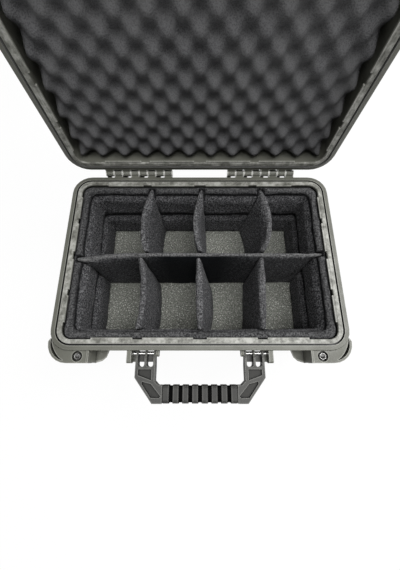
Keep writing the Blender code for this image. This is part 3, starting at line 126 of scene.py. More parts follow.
# Dividers, as in the solids
DIVIDER_T = 9.4 * MM
DIVIDER_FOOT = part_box("divider_long")[0].z
DIVIDER_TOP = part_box("divider_long")[1].z
DIVIDER_SLIM = 1 * MM
DIVIDER_STEP = 3.8 * MM
DIVIDER_CAP = 4.6 * MM
DIVIDER_CAP_DIP = 0.7 * MM
DIVIDER_CAP_POWER = 0.8
DIVIDER_STEPS_UP = 27
DIVIDER_STEPS_TOP = 8
DIVIDER_SWELL_SHARE = 0.06
DIVIDER_END_SHARE = 0.75
DIVIDER_END_RUN = 5 * MM
LONG_Y_TOP = 5 * MM
LONG_Y_FOOT = -3 * MM
LONG_CURL = 8 * MM
LONG_CURL_SHARE = 0.2
LONG_TAPER_SHARES = (1.08, 0.74)
BACK_DIVIDER_SHARES = (((-0.385, -0.438, -0.408), (-0.35, -0.375, -0.365)),
                       ((0.015, -0.03, 0.005), (0.03, 0.04, 0.03)),
                       ((0.487, 0.54, 0.472), (0.4, 0.45, 0.44)))
FRONT_DIVIDER_SHARES = (((-0.438, -0.413, -0.445), (-0.39, -0.37, -0.38)),
                        ((-0.005, -0.01, -0.015), (0.06, 0.1, 0.07)),
                        ((0.44, 0.453, 0.46), (0.385, 0.405, 0.415)))

# Tucked ends: how far out they reach, and how the roll gives way under them
TUCK_IN = 17.6 * MM
TUCK_FOOT_SHARE = 0.905
TUCK_SHARE = 0.96
TUCK_ROOM = 0.5 * MM
TUCK_EASE = 1.1 * MM
TUCK_KEEP = 9 * MM
TUCK_AHEAD = 1.2 * MM
TUCK_STATION_SHARES = (0.0, 0.55, 0.85, 1.0)
PRESS_FOOT = 2 * MM
PRESS_HEAD = 2.4 * MM

# Simulation: its length and pressure, what it holds and how far a point of a padded face may move
PUFF_FRAMES = 20
PUFF_PRESSURE = 4
PUFF_SHRINK = -0.012
PUFF_CAP = 1.4 * MM
HELD_FOOT = 1 * MM

# Given unevenness: a noise scale, a depth and a seed, and the folds at the liner's corners
LINER_SAG = (26, 1.5 * MM)
LINER_RIPPLE = (80, 0.8 * MM)
LINER_STILL = 2 * MM
LINER_EASE = 4 * MM
FOLD_HALF = 2.4 * MM
FOLD_DEEP = 1.8 * MM
DIVIDER_SAG = (24, 0.9 * MM, 3.0)
DIVIDER_RIPPLE = (85, 0.6 * MM, 3.0)
PAD_SAG = (30, 0.8 * MM)

# Floor's foam
PAD_STEP = 3 * MM
PAD_EDGE = 4 * MM
PAD_EDGE_FALL = 1.5 * MM
PAD_SINK = 0.6 * MM

# Painted shade on the middle of the long divider's front
LONG_SHADE_AT = -10 * MM
LONG_SHADE_HALF = 80 * MM

# Lid: how far it stands open, and its hinge's axis
LID_OPEN = 92 * DEGREE
HINGE_OUT = 7 * MM
HINGE = (0.0, RIM_D / 2 + HINGE_OUT, BASE_H + CLEAR / 2)

# Lid's foam: its edge and its waves, in the shut lid
LID_PLANE = BASE_H + CLEAR
WAVES_IN = 18.3 * MM
WAVES_REPEAT_IN = 18 * MM
WAVES_ALONG = 11
WAVES_UP = 7
WAVES_FACE = LID_PLANE + 10.3 * MM
WAVES_BACK = LID_PLANE + 42.5 * MM
WAVES_DEPTH = 12 * MM
WAVES_STEP = 3.2 * MM

# Soft edges of the carried solids
WELD_GAP = 0.01 * MM
EDGE_SOFT = 0.35 * MM
EDGE_ANGLE = 35 * DEGREE

# Stage
STAGE_HALF = 6.0
STAGE_DROP = 0.5 * MM
STAGE_WHITE_SHARE = 0.95
ROOM_LIGHT = 0.15
ROOM_MIRRORED_SHARE = 0.4
LAMP_SIZE = 0.8
LAMP_TARGET = (0, 0, 0.1)
KEY_PLACE = (0.75, 0.2, 1.25)
KEY_POWER = 19
TOP_PLACE = (0.0, -0.3, 1.45)
TOP_POWER = 14

# Colours; tones are stops of a ramp, each a place and a colour
# Black, used for painted shade in the seal groove and in creases
BLACK = (0.002, 0.002, 0.002)
SHELL_TONES = ((0.45, (0.080, 0.081, 0.067)), (0.95, (0.130, 0.131, 0.111)))
SHELL_SCUFF = (0.22, 0.22, 0.19)
# Painted reflections, marbled, on the rim's inner band
SHELL_BAND_REFLECTIONS = ((0.36, (0.08, 0.08, 0.07)), (0.48, (0.2, 0.2, 0.18)), (0.66, (0.44, 0.44, 0.41)))
# Painted highlight on the shell's outer edges
SHELL_EDGE_HIGHLIGHT = (0.34, 0.34, 0.31)
# Painted glints on the hinges' edges
SHELL_GLINT = (0.8, 0.8, 0.76)
# Painted shade in the shell's creases
SHELL_CREVICE_SHADE = (0.006, 0.006, 0.005)
HANDLE_TONES = ((0.45, (0.026, 0.026, 0.024)), (0.9, (0.056, 0.056, 0.052)))
# Painted shade at the handle's pocket floors
HANDLE_POCKET_SHADE = (0.008, 0.008, 0.0075)
# Painted highlight on the handle's outer edges
HANDLE_EDGE_HIGHLIGHT = (0.2, 0.2, 0.185)
FABRIC_TONES = ((0.39, (0.013, 0.013, 0.0137)), (0.5, (0.055, 0.055, 0.058)), (0.61, (0.21, 0.21, 0.216)))
FABRIC_PATCH = (0.052, 0.052, 0.055)
# Painted highlight on the fabrics' tops
FABRIC_TOP_HIGHLIGHT = (0.14, 0.14, 0.137)
# Painted shade under and over the liner's seams
FABRIC_SEAM_SHADE = (0.004, 0.004, 0.0045)
# Painted shade on the long divider's front
FABRIC_SHADE = (0.002, 0.003, 0.004)
FOAM_TONES = ((0.0, (0.08, 0.084, 0.072)), (0.4, (0.15, 0.156, 0.136)), (0.8, (0.24, 0.245, 0.22)))
FOAM_PORE = (0.035, 0.037, 0.032)
# Painted glints on the foam's cells
FOAM_GLINT = (0.8, 0.8, 0.75)
FOAM_PATCH = (0.12, 0.124, 0.11)
LID_FOAM_TONES = ((0.0, (0.035, 0.035, 0.037)), (0.6, (0.095, 0.095, 0.098)))
LID_FOAM_PATCH = (0.12, 0.12, 0.12)
RUBBER_TONES = ((0.45, (0.022, 0.022, 0.020)), (0.9, (0.055, 0.055, 0.051)))
GRIP_TONES = ((0.5, (0.013, 0.013, 0.012)), (0.85, (0.036, 0.036, 0.033)))
GRIP_LIP = (0.085, 0.085, 0.08)
# Painted shade in the grip's grooves
GRIP_GROOVE_SHADE = (0.0012, 0.0012, 0.0012)
# Painted shade in the steel's hollows
STEEL_HOLLOW_SHADE = (0.004, 0.004, 0.004)

# Relief of each finish
SHELL_RELIEF = 0.5 * MM
HANDLE_RELIEF = 0.4 * MM
FABRIC_RELIEF = 1.1 * MM
FOAM_RELIEF = 1.0 * MM
LID_FOAM_RELIEF = 0.9 * MM
RUBBER_RELIEF = 0.3 * MM
GRIP_RELIEF = 0.4 * MM
STEEL_RELIEF = 0.1 * MM

# How far painted highlights on edges, glints and tops, and painted shade in folds, hollows and over seams
# reach
EDGE_HIGHLIGHT_REACH = 2 * MM
GLINT_REACH = 1.6 * MM
SHELL_SHADE_REACH = 5 * MM
HANDLE_SHADE_REACH = 3 * MM
FABRIC_SHADE_REACH = 6 * MM
STEEL_SHADE_REACH = 3 * MM
SEAM_UNDER = 3 * MM
SEAM_EDGE = 1 * MM
SEAM_OVER = 12 * MM
HIGHLIGHT_FROM = 6 * MM
HIGHLIGHT_TO = 1 * MM
ABOVE_ALL = (1.0, 2.0)


# Shapes

def mixed(low, high, share):
    """The value at a share of the way from low to high."""
    return low + (high - low) * share


def smoothed(share):
    """A share kept from 0 to 1, with soft ends."""
    share = min(1.0, max(0.0, share))
    return share * share * (3 - 2 * share)


def made_mesh(name, points, faces, look, flat=False):
    """An object from points and faces, with its faces turned outwards."""
    mesh = bpy.data.meshes.new(name)
    mesh.from_pydata([tuple(point) for point in points], [], faces)
    work = bmesh.new()
    work.from_mesh(mesh)
    bmesh.ops.recalc_face_normals(work, faces=work.faces)
    work.to_mesh(mesh)
    work.free()
    piece = bpy.data.objects.new(name, mesh)
    bpy.context.scene.collection.objects.link(piece)
    mesh.materials.append(look)
    if not flat:
        mesh.shade_smooth()
    return piece


def skin(name, rings, look, around=True, closed=False):
    """Skin equal rows of points, each closed on itself; a closed skin joins its last and first rows."""
    count = len(rings[0])
    points = [point for ring in rings for point in ring]
    faces = []
    for level in range(len(rings) if closed else len(rings) - 1):
        low = level * count
        high = (level + 1) % len(rings) * count
        for step in range(count if around else count - 1):
            following = (step + 1) % count
            faces.append((low + step, low + following, high + following, high + step))
    if around and not closed:
        faces += ladder(count, 0)
        faces += ladder(count, len(points) - count)
    return made_mesh(name, points, faces, look)


def ladder(count, first):
    """Quads across an even ring, from its point 0 and the opposite one, which close its end."""
    half = count // 2
    rungs = [(first + step, first + (count - step) % count) for step in range(1, half)]
    faces = [(first, *rungs[0])]
    faces += [(a[0], b[0], b[1], a[1]) for a, b in zip(rungs, rungs[1:])]
    return faces + [(rungs[-1][0], first + half, rungs[-1][1])]


# Materials

class Finish:
    """A node material with short calls for its nodes."""

    def __init__(self, name):
        self.material = bpy.data.materials.new(name)
        self.material.use_nodes = True
        self.tree = self.material.node_tree
        self.shader = self.tree.nodes["Principled BSDF"]

    def node(self, kind, **values):
        made = self.tree.nodes.new(kind)
        for key, value in values.items():
            setattr(made, key, value)
        return made

    def join(self, source, target):
        self.tree.links.new(source, target)

    def feed(self, socket, value):
        """Put a socket, a colour or a number on an input."""
        if isinstance(value, bpy.types.NodeSocket):
            self.join(value, socket)
        elif isinstance(value, tuple) and len(value) == 3 and socket.type == "RGBA":
            socket.default_value = (*value, 1.0)
        else:
            socket.default_value = value

    def place(self, stretch=(1, 1, 1)):
        """The object's own coordinates in metres, stretched."""
        mapping = self.node("ShaderNodeMapping")
        mapping.inputs["Scale"].default_value = stretch
        self.join(self.node("ShaderNodeTexCoord").outputs["Object"], mapping.inputs["Vector"])
        return mapping.outputs["Vector"]

    def shut_place(self):
        """The coordinates of a place on the open lid, turned back to the shut lid."""
        cosine = math.cos(LID_OPEN)
        sine = math.sin(LID_OPEN)
        mapping = self.node("ShaderNodeMapping")
        mapping.inputs["Rotation"].default_value = (LID_OPEN, 0, 0)
        mapping.inputs["Location"].default_value = (0, HINGE[1] - HINGE[1] * cosine + HINGE[2] * sine,
                                                    HINGE[2] - HINGE[1] * sine - HINGE[2] * cosine)
        self.join(self.node("ShaderNodeTexCoord").outputs["Object"], mapping.inputs["Vector"])
        return mapping.outputs["Vector"]

    def axes(self, place):
        """The X, Y and Z of a place."""
        split = self.node("ShaderNodeSeparateXYZ")
        self.join(place, split.inputs["Vector"])
        return split.outputs["X"], split.outputs["Y"], split.outputs["Z"]

    def noise(self, scale, detail=2.0, roughness=0.5, stretch=(1, 1, 1)):
        made = self.node("ShaderNodeTexNoise")
        made.inputs["Scale"].default_value = scale
        made.inputs["Detail"].default_value = detail
        made.inputs["Roughness"].default_value = roughness
        self.join(self.place(stretch), made.inputs["Vector"])
        return made.outputs["Fac"]

    def cells(self, scale):
        made = self.node("ShaderNodeTexVoronoi")
        made.inputs["Scale"].default_value = scale
        self.join(self.place(), made.inputs["Vector"])
        return made.outputs["Distance"]

    def ramp(self, value, stops):
        """A value turned to colours; each stop is a place and a colour."""
        made = self.node("ShaderNodeValToRGB")
        elements = made.color_ramp.elements
        while len(elements) < len(stops):
            elements.new(0.5)
        for element, (position, colour) in zip(elements, stops):
            element.position = position
            element.color = (*colour, 1.0)
        self.join(value, made.inputs["Fac"])
        return made.outputs["Color"]

    def span(self, value, low, high, new_low=0.0, new_high=1.0):
        """A value's span from low to high laid on a new span."""
        made = self.node("ShaderNodeMapRange")
        made.inputs["From Min"].default_value = low
        made.inputs["From Max"].default_value = high
        made.inputs["To Min"].default_value = new_low
        made.inputs["To Max"].default_value = new_high
        self.join(value, made.inputs["Value"])
        return made.outputs["Result"]

    def math(self, operation, *values):
        made = self.node("ShaderNodeMath", operation=operation)
        for socket, value in zip(made.inputs, values):
            self.feed(socket, value)
        return made.outputs["Value"]

    def within(self, value, low, high, blur):
        """1 where a value lies between two limits, 0 elsewhere, with soft ends."""
        rise = self.span(value, low - blur, low + blur)
        fall = self.span(value, high - blur, high + blur, 1.0, 0.0)
        return self.both(rise, fall)

    def both(self, *masks):
        """Masks multiplied together."""
        result = masks[0]
        for mask in masks[1:]:
            result = self.math("MULTIPLY", result, mask)
        return result

    def mix(self, factor, first, second):
        """Two colours mixed; each value may be a socket or numbers."""
        made = self.node("ShaderNodeMix", data_type="RGBA")
        for socket, value in ((made.inputs[0], factor), (made.inputs[6], first), (made.inputs[7], second)):
            self.feed(socket, value)
        return made.outputs[2]

    def shut_in(self, distance, inside):
        """How much of a place's surroundings is taken up within a distance, from outside or inside."""
        made = self.node("ShaderNodeAmbientOcclusion", samples=6, inside=inside)
        made.inputs["Distance"].default_value = distance
        return self.math("SUBTRACT", 1.0, made.outputs["AO"])

    def crevice(self, distance):
        """1 deep in folds and inner corners, 0 on open faces."""
        return self.shut_in(distance, False)

    def outer_edge(self, distance):
        """1 on outer edges, 0 on open faces."""
        return self.shut_in(distance, True)

    def bump(self, height, strength, distance):
        made = self.node("ShaderNodeBump")
        made.inputs["Strength"].default_value = strength
        made.inputs["Distance"].default_value = distance
        self.join(height, made.inputs["Height"])
        self.join(made.outputs["Normal"], self.shader.inputs["Normal"])

    def set(self, **values):
        """Set the shader's inputs, named with _ for a space."""
        for name, value in values.items():
            self.feed(self.shader.inputs[name.replace("_", " ")], value)


def rim_masks(look, place, up):
    """Masks for the seal groove, where painted shade goes, and for the inner band of a rim, where painted
    reflections go; up is 1 for the base and -1 for the lid.
    """
    x, y, z = look.axes(place)
    past_x = look.math("MAXIMUM", look.math("SUBTRACT", look.math("ABSOLUTE", x), RIM_W / 2 - RIM_R), 0.0)
    past_y = look.math("MAXIMUM", look.math("SUBTRACT", look.math("ABSOLUTE", y), RIM_D / 2 - RIM_R), 0.0)
    squares = look.math("ADD", look.math("POWER", past_x, 2.0), look.math("POWER", past_y, 2.0))
    inset = look.math("SUBTRACT", RIM_R, look.math("SQRT", squares))
    level = look.math("MULTIPLY", look.math("SUBTRACT", z, BASE_H), float(up))
    groove = look.both(look.within(inset, GROOVE_NEAR, GROOVE_FAR, RIM_BLUR),
                       look.within(level, -GROOVE_DEEP, -RIM_BLUR, RIM_BLUR / 2))
    band = look.both(look.within(inset, BAND_START, BAND_END, 2 * RIM_BLUR),
                     look.within(level, -BAND_UNDER, BAND_OVER, RIM_BLUR))
    return groove, band


def shell_plastic(name="shell_plastic", up=1):
    """Olive grey moulded plastic: grain and faint scuffs, with painted highlights on its edges, painted
    reflections on its inner band, painted glints on its hinges and painted shade in its creases and seal
    groove.
    """
    look = Finish(name)
    cloud = look.noise(14, 3.0, 0.6)
    grain = look.noise(1500, 2.0, 0.6)
    colour = look.ramp(look.math("MULTIPLY_ADD", grain, 0.35, cloud), SHELL_TONES)
    scuffs = look.span(look.noise(60, 6.0, 0.75, (1, 9, 1)), 0.62, 0.72, 0.0, 0.3)
    colour = look.mix(scuffs, colour, SHELL_SCUFF)
    groove, band = rim_masks(look, look.place() if up > 0 else look.shut_place(), up)
    # Painted reflections, marbled, on the inner band
    band_reflections = look.ramp(look.noise(80, 3.0, 0.7), SHELL_BAND_REFLECTIONS)
    colour = look.mix(look.math("MULTIPLY", band, 0.75), colour, band_reflections)
    # Painted highlights on outer edges
    colour = look.mix(look.span(look.outer_edge(EDGE_HIGHLIGHT_REACH), 0.2, 0.55, 0.0, 0.8), colour, SHELL_EDGE_HIGHLIGHT)
    # Painted glints on the edges about the hinges
    back, height = look.axes(look.place())[1:]
    hinge = look.both(look.span(back, HINGE_BACK, HINGE_BACK + HINGE_BLUR),
                      look.within(height, BASE_H - HINGE_UNDER, BASE_H + HINGE_OVER, HINGE_BLUR))
    glints = look.both(look.span(look.outer_edge(GLINT_REACH), 0.1, 0.35),
                       look.math("MULTIPLY", hinge, 0.85))
    colour = look.mix(glints, colour, SHELL_GLINT)
    # Painted shade in creases, weaker at the hinges
    crevice_shade = look.both(look.span(look.crevice(SHELL_SHADE_REACH), 0.3, 0.8, 0.0, 0.95),
                      look.span(hinge, 0.0, 1.0, 1.0, 0.7))
    colour = look.mix(crevice_shade, colour, SHELL_CREVICE_SHADE)
    # Painted shade, black, in the seal groove
    colour = look.mix(groove, colour, BLACK)
    look.set(Base_Color=colour, Roughness=look.span(look.noise(90, 4.0), 0.3, 0.7, 0.3, 0.46),
             Specular_IOR_Level=0.3)
    look.bump(look.math("MULTIPLY_ADD", cloud, 0.4, grain), 0.3, SHELL_RELIEF)
    return look.material


def handle_plastic():
    """The handle's darker moulded plastic, with painted highlights on its edges and painted shade in its
    pockets and creases.
    """
    look = Finish("handle_plastic")
    cloud = look.noise(40, 4.0, 0.6)
    grain = look.noise(1500, 2.0, 0.6)
    colour = look.ramp(look.math("MULTIPLY_ADD", grain, 0.3, cloud), HANDLE_TONES)
    height = look.axes(look.place())[2]
    # Painted shade at the pockets' floor
    pocket = look.within(height, POCKET_FLOOR - POCKET_BAND, POCKET_FLOOR + POCKET_BAND, POCKET_BAND / 2)
    colour = look.mix(look.math("MULTIPLY", pocket, 0.35), colour, HANDLE_POCKET_SHADE)
    # Painted highlights on outer edges
    colour = look.mix(look.span(look.outer_edge(EDGE_HIGHLIGHT_REACH), 0.2, 0.55, 0.0, 0.85), colour, HANDLE_EDGE_HIGHLIGHT)
    # Painted shade, black, in creases
    colour = look.mix(look.span(look.crevice(HANDLE_SHADE_REACH), 0.12, 0.45, 0.0, 0.95), colour, BLACK)
    look.set(Base_Color=colour, Roughness=look.span(cloud, 0.3, 0.7, 0.34, 0.5),
             Specular_IOR_Level=look.span(pocket, 0.0, 1.0, 0.25, 0.12))
    look.bump(grain, 0.3, HANDLE_RELIEF)
    return look.material


def loop_fabric(name="loop_fabric", crest=ABOVE_ALL, highlight_share=0.6, seams=(), front_shade=0.0):
    """Dark loop pile with paler flecks, with painted shade in its folds and over its seams and a painted
    highlight up a crest. Where front_shade is given, painted shade darkens the middle of the face towards
    the front by that much.
    """
    look = Finish(name)
    tufts = look.noise(430, 4.0, 0.75)
    loops = look.cells(800)
    patches = look.noise(26, 3.0, 0.5)
    height = look.axes(look.place())[2]
    colour = look.ramp(tufts, FABRIC_TONES)
    colour = look.mix(look.span(patches, 0.3, 0.7, 0.0, 0.35), colour, FABRIC_PATCH)
    # Painted highlight up the crest, stronger on the tufts
    top_highlight = look.both(look.span(height, *crest), look.span(tufts, 0.42, 0.58, highlight_share / 6, highlight_share))
    colour = look.mix(top_highlight, colour, FABRIC_TOP_HIGHLIGHT)
    # Painted shade under each seam, fading above it
    for seam in seams:
        shade = look.both(look.span(height, seam - SEAM_UNDER, seam - SEAM_EDGE),
                          look.span(height, seam - SEAM_EDGE / 2, seam + SEAM_OVER, 0.9, 0.0))
        colour = look.mix(shade, colour, FABRIC_SEAM_SHADE)
    # Painted shade on the middle of the face towards the front
    if front_shade:
        facing = look.axes(look.node("ShaderNodeTexCoord").outputs["Normal"])[1]
        front = look.span(facing, -0.4, -0.8, 0.0, front_shade)
        across = look.math("ABSOLUTE", look.math("SUBTRACT", look.axes(look.place())[0], LONG_SHADE_AT))
        middle = look.span(across, LONG_SHADE_HALF / 2, LONG_SHADE_HALF * 1.6, 1.0, 0.2)
        colour = look.mix(look.both(front, middle), colour, FABRIC_SHADE)
    # Painted shade, black, in folds
    colour = look.mix(look.span(look.crevice(FABRIC_SHADE_REACH), 0.4, 0.85, 0.0, 0.95), colour, BLACK)
    look.set(Base_Color=colour, Roughness=look.span(tufts, 0.3, 0.7, 0.95, 0.85), Sheen_Weight=0.02,
             Sheen_Roughness=0.5, Specular_IOR_Level=0.03)
    look.bump(look.math("MULTIPLY_ADD", loops, 0.5, tufts), 0.85, FABRIC_RELIEF)
    return look.material


def bare_foam():
    """Open cell foam: grey green with dark pores and painted glints on its cells."""
    look = Finish("bare_foam")
    pores = look.cells(620)
    flecks = look.noise(420, 3.0, 0.85)
    patches = look.noise(22, 2.0, 0.5)
    colour = look.ramp(pores, FOAM_TONES)
    colour = look.mix(look.span(flecks, 0.37, 0.47, 0.9, 0.0), colour, FOAM_PORE)
    # Painted glints on the cells
    colour = look.mix(look.span(flecks, 0.58, 0.64), colour, FOAM_GLINT)
    colour = look.mix(look.span(patches, 0.3, 0.7, 0.0, 0.3), colour, FOAM_PATCH)
    look.set(Base_Color=colour, Roughness=look.span(pores, 0.0, 0.7, 0.98, 0.86), Specular_IOR_Level=0.2)
    look.bump(pores, 0.8, FOAM_RELIEF)
    return look.material


def lid_foam_look():
    """Darker open cell foam for the lid."""
    look = Finish("lid_foam")
    pores = look.cells(700)
    colour = look.ramp(pores, LID_FOAM_TONES)
    colour = look.mix(look.span(look.noise(26, 3.0), 0.35, 0.7, 0.0, 0.4), colour, LID_FOAM_PATCH)
    look.set(Base_Color=colour, Roughness=look.span(pores, 0.0, 0.7, 0.98, 0.88), Specular_IOR_Level=0.2)
    look.bump(pores, 0.6, LID_FOAM_RELIEF)
    return look.material


def dark_rubber():
    """Near black rubber with a dull bloom."""
    look = Finish("dark_rubber")
    cloud = look.noise(45, 4.0, 0.6)
    grain = look.noise(1600, 2.0, 0.5)
    colour = look.ramp(look.math("MULTIPLY_ADD", grain, 0.3, cloud), RUBBER_TONES)
    look.set(Base_Color=colour, Roughness=look.span(cloud, 0.3, 0.7, 0.42, 0.58))
    look.bump(grain, 0.25, RUBBER_RELIEF)
    return look.material


def grip_rubber():
    """The grip's rubber, with painted shade in its grooves and a paler band on the ribs beside them."""
    look = Finish("grip_rubber")
    cloud = look.noise(60, 4.0, 0.6)
    grain = look.noise(1300, 2.0, 0.5)
    colour = look.ramp(look.math("MULTIPLY_ADD", grain, 0.4, cloud), GRIP_TONES)
    across = look.math("ABSOLUTE", look.axes(look.place())[0])
    from_groove = look.math("PINGPONG", across, GRIP_PITCH / 2)
    ribbed = look.span(across, *[GRIP_PITCH * share for share in GRIP_END_SHARES], 1.0, 0.0)
    half = GRIP_GROOVE_W / 2
    groove = look.both(look.span(from_groove, half - GRIP_BLUR / 2, half + GRIP_FADE, 1.0, 0.0), ribbed)
    lip = look.both(look.within(from_groove, half + GRIP_LIP_NEAR, half + GRIP_LIP_FAR, GRIP_BLUR), ribbed)
    colour = look.mix(look.both(lip, look.span(cloud, 0.4, 0.6, 0.2, 0.7)), colour, GRIP_LIP)
    # Painted shade in the grooves
    colour = look.mix(groove, colour, GRIP_GROOVE_SHADE)
    look.set(Base_Color=colour, Roughness=look.span(cloud, 0.3, 0.7, 0.5, 0.66),
             Specular_IOR_Level=look.span(groove, 0.0, 1.0, 0.32, 0.02))
    look.bump(grain, 0.3, GRIP_RELIEF)
    return look.material


def steel(name="steel", low=0.52, high=0.78, dull=(0.2, 0.36), shade_reach=0.0):
    """Drawn steel with fine lines along X, and painted shade, black, in its hollows as far as a given reach.
    """
    look = Finish(name)
    lines = look.noise(700, 3.0, 0.6, (0.08, 1, 1))
    colour = look.ramp(lines, ((0.3, (low, low, low * 0.98)), (0.7, (high, high, high * 0.98))))
    # Painted shade in the hollows, as far as the reach given
    if shade_reach:
        colour = look.mix(look.span(look.crevice(shade_reach), 0.15, 0.5, 0.0, 0.97), colour, STEEL_HOLLOW_SHADE)
    look.set(Base_Color=colour, Roughness=look.span(lines, 0.3, 0.7, *dull), Metallic=1.0)
    look.bump(lines, 0.1, STEEL_RELIEF)
    return look.material


def highlight_heights(top):
    """The heights between which a painted highlight rises towards a piece's top."""
    return top - HIGHLIGHT_FROM, top - HIGHLIGHT_TO


LOOKS = {"shell_plastic": shell_plastic(), "handle_plastic": handle_plastic(), "bare_foam": bare_foam(),
         "loop_fabric": loop_fabric(), "dark_rubber": dark_rubber(), "steel": steel()}
OWN_LOOKS = {"lid_shell": shell_plastic("lid_plastic", -1), "handle_grip": grip_rubber()}
# Dull steel gets painted shade in its hollows, the fabrics painted highlights on their tops and the long
# divider painted shade on its front
DULL_STEEL = steel("dull_steel", 0.3, 0.6, (0.25, 0.4), STEEL_SHADE_REACH)
LINER_FABRIC = loop_fabric("liner_fabric", highlight_heights(LINER_TOP), 0.42, LINER_SEAMS)
DIVIDER_FABRIC = loop_fabric("divider_fabric", highlight_heights(DIVIDER_TOP), 0.25)
LONG_FABRIC = loop_fabric("long_fabric", highlight_heights(DIVIDER_TOP), 0.9, front_shade=0.97)
LID_FOAM = lid_foam_look()


# Padded pieces

def wobble(point, scale, depth, seed=0.0):
    """A soft change of place that follows noise."""
    return noise.noise(Vector((point[0] * scale + seed, point[1] * scale, point[2] * scale))) * depth


def puff(pieces):
    """Fill padded pieces as cloth under pressure, cap how far each point moves and keep the shape."""
    scene = bpy.context.scene
    for piece in pieces:
        cloth = piece.modifiers.new("cloth", "CLOTH")
        cloth.point_cache.frame_start = 1
        cloth.point_cache.frame_end = PUFF_FRAMES
        settings = cloth.settings
        settings.use_pressure = True
        settings.uniform_pressure_force = PUFF_PRESSURE
        settings.vertex_group_mass = "held"
        settings.shrink_min = PUFF_SHRINK
        settings.effector_weights.gravity = 0
    for frame_number in range(1, PUFF_FRAMES + 1):
        scene.frame_set(frame_number)
    graph = bpy.context.evaluated_depsgraph_get()
    for piece in pieces:
        puffed = [vertex.co.copy() for vertex in piece.evaluated_get(graph).data.vertices]
        piece.modifiers.clear()
        for vertex, spot in zip(piece.data.vertices, puffed):
            move = spot - vertex.co
            if move.length > PUFF_CAP:
                move *= PUFF_CAP / move.length
            vertex.co += move
    scene.frame_set(1)


def finished(piece, shift):
    """Move each point of a padded face by the given unevenness and smooth the mesh once."""
    for vertex in piece.data.vertices:
        vertex.co = shift(vertex.co, vertex.normal)
    smooth = piece.modifiers.new("smooth", "SUBSURF")
    smooth.levels = 1
    smooth.render_levels = 1
    piece.data.shade_smooth()


def hold(piece, shares):
    """Name the points that the simulation keeps in place."""
    group = piece.vertex_groups.new(name="held")
    for index, share in enumerate(shares):
        if share > 0:
            group.add([index], share, "REPLACE")


def liner_envelope(height):
    """How far in the liner's inner face stands at a height, at the crown of a tier."""
    return mixed(LINER_FOOT_IN, LINER_TOP_IN, (height - LINER_FOOT) / (LINER_TOP - LINER_FOOT))


def liner_rows():
    """The liner's section as (inset, height, hold): up its hidden back, over its roll, down its tiers."""
    first_seam = LINER_SEAMS[0]
    rows = [(LINER_SOLE_IN, LINER_FOOT, 1.0)]
    rows += [(LINER_BACK, mixed(LINER_HEEL, LINER_SHOULDER, step / LINER_BACK_STEPS), 1.0)
             for step in range(LINER_BACK_STEPS + 1)]
    rows.append((mixed(LINER_BACK, LINER_OUT, LINER_LEAN_SHARE),
                 mixed(LINER_SHOULDER, LINER_ROLL_FOOT, LINER_LEAN_SHARE), 1.0))
    for step in range(LINER_ROLL_STEPS + 1):
        angle = math.pi - math.pi * step / LINER_ROLL_STEPS
        across = LINER_OUT + LINER_ROLL_W / 2 * (1 + math.cos(angle))
        rows.append((across, LINER_ROLL_FOOT + LINER_ROLL * math.sin(angle), 1.0 if step < 2 else 0.0))
    rows.append((liner_envelope(first_seam) + LINER_SLIM - LINER_SEAM_DEEP, first_seam, 1.0))
    bounds = [*LINER_SEAMS, LINER_FOOT]
    for high, low in zip(bounds, bounds[1:]):
        count = round((high - low) / LINER_STEP)
        for step in range(count + 1):
            height = mixed(high - LINER_SEAM_HALF, low + LINER_SEAM_HALF, step / count)
            near_seam = min(high - height, height - low) - LINER_SEAM_HALF
            draw = LINER_DRAW * (1 - smoothed(near_seam / LINER_DRAW_RUN))
            rows.append((liner_envelope(height) + LINER_SLIM - draw, height, 0.0))
        rows.append((liner_envelope(low) + LINER_SLIM - LINER_SEAM_DEEP, low, 1.0))
    return rows


def side_places(straight, middles):
    """Even places along a straight side, with closer ones about each tucked end."""
    count = round(2 * straight / LINER_STEP)
    places = [mixed(-straight, straight, step / count) for step in range(count)]
    for middle, half in middles:
        places = [place for place in places if abs(place - middle) > TUCK_KEEP]
        stations = [half * share for share in TUCK_STATION_SHARES]
        stations += [half + TUCK_EASE, half + 3 * TUCK_EASE]
        places += {middle + side * away for side in (-1, 1) for away in stations}
    return sorted(places)


def drawn_in(place, straight, short):
    """A place on a side, drawn in near its corners where the ring is smaller."""
    keep = straight * STEADY_SHARE
    past = max(0.0, abs(place) - keep)
    return math.copysign(min(abs(place), keep) + past * (short - keep) / (straight - keep), place)


def tucks():
    """The tucked ends: the way to their wall, their place along it and the half width they need."""
    up = mixed(TUCK_SHARE, 1.0, 0.5)
    half = DIVIDER_T / 2 - DIVIDER_SLIM
    found = [((side, 0), long_middle(side * (RIM_W / 2 - TUCK_IN), up), half * taper + TUCK_ROOM)
             for side, taper in zip((-1, 1), LONG_TAPER_SHARES)]
    found += [((0, 1), RIM_W / 2 * mixed(feet[0], tops[0], up), half + TUCK_ROOM)
              for tops, feet in BACK_DIVIDER_SHARES]
    return found


def rounded_ring(inset, radius):
    """A ring at an inset from the rim, with as many points whatever its radius."""
    found = []
    for index, way in enumerate(((1, 0), (0, 1), (-1, 0), (0, -1))):
        run = (-way[1], way[0])
        along_x = abs(run[0])
        straight = (RIM_W if along_x else RIM_D) / 2 - RIM_R
        short = (RIM_W if along_x else RIM_D) / 2 - inset - radius
        out = (RIM_D if along_x else RIM_W) / 2 - inset
        sign = run[0] + run[1]
        middles = [(sign * middle, half) for wall, middle, half in tucks() if wall == way]
        for place in side_places(straight, middles):
            spot = drawn_in(place, straight, short)
            found.append((way[0] * out + run[0] * spot, way[1] * out + run[1] * spot))
        centre = Vector(way) * (out - radius) + Vector(run) * short
        for number in range(LINER_TURNS):
            angle = math.pi / 2 * (index + number / LINER_TURNS)
            found.append(tuple(centre + Vector((math.cos(angle), math.sin(angle))) * radius))
    return found


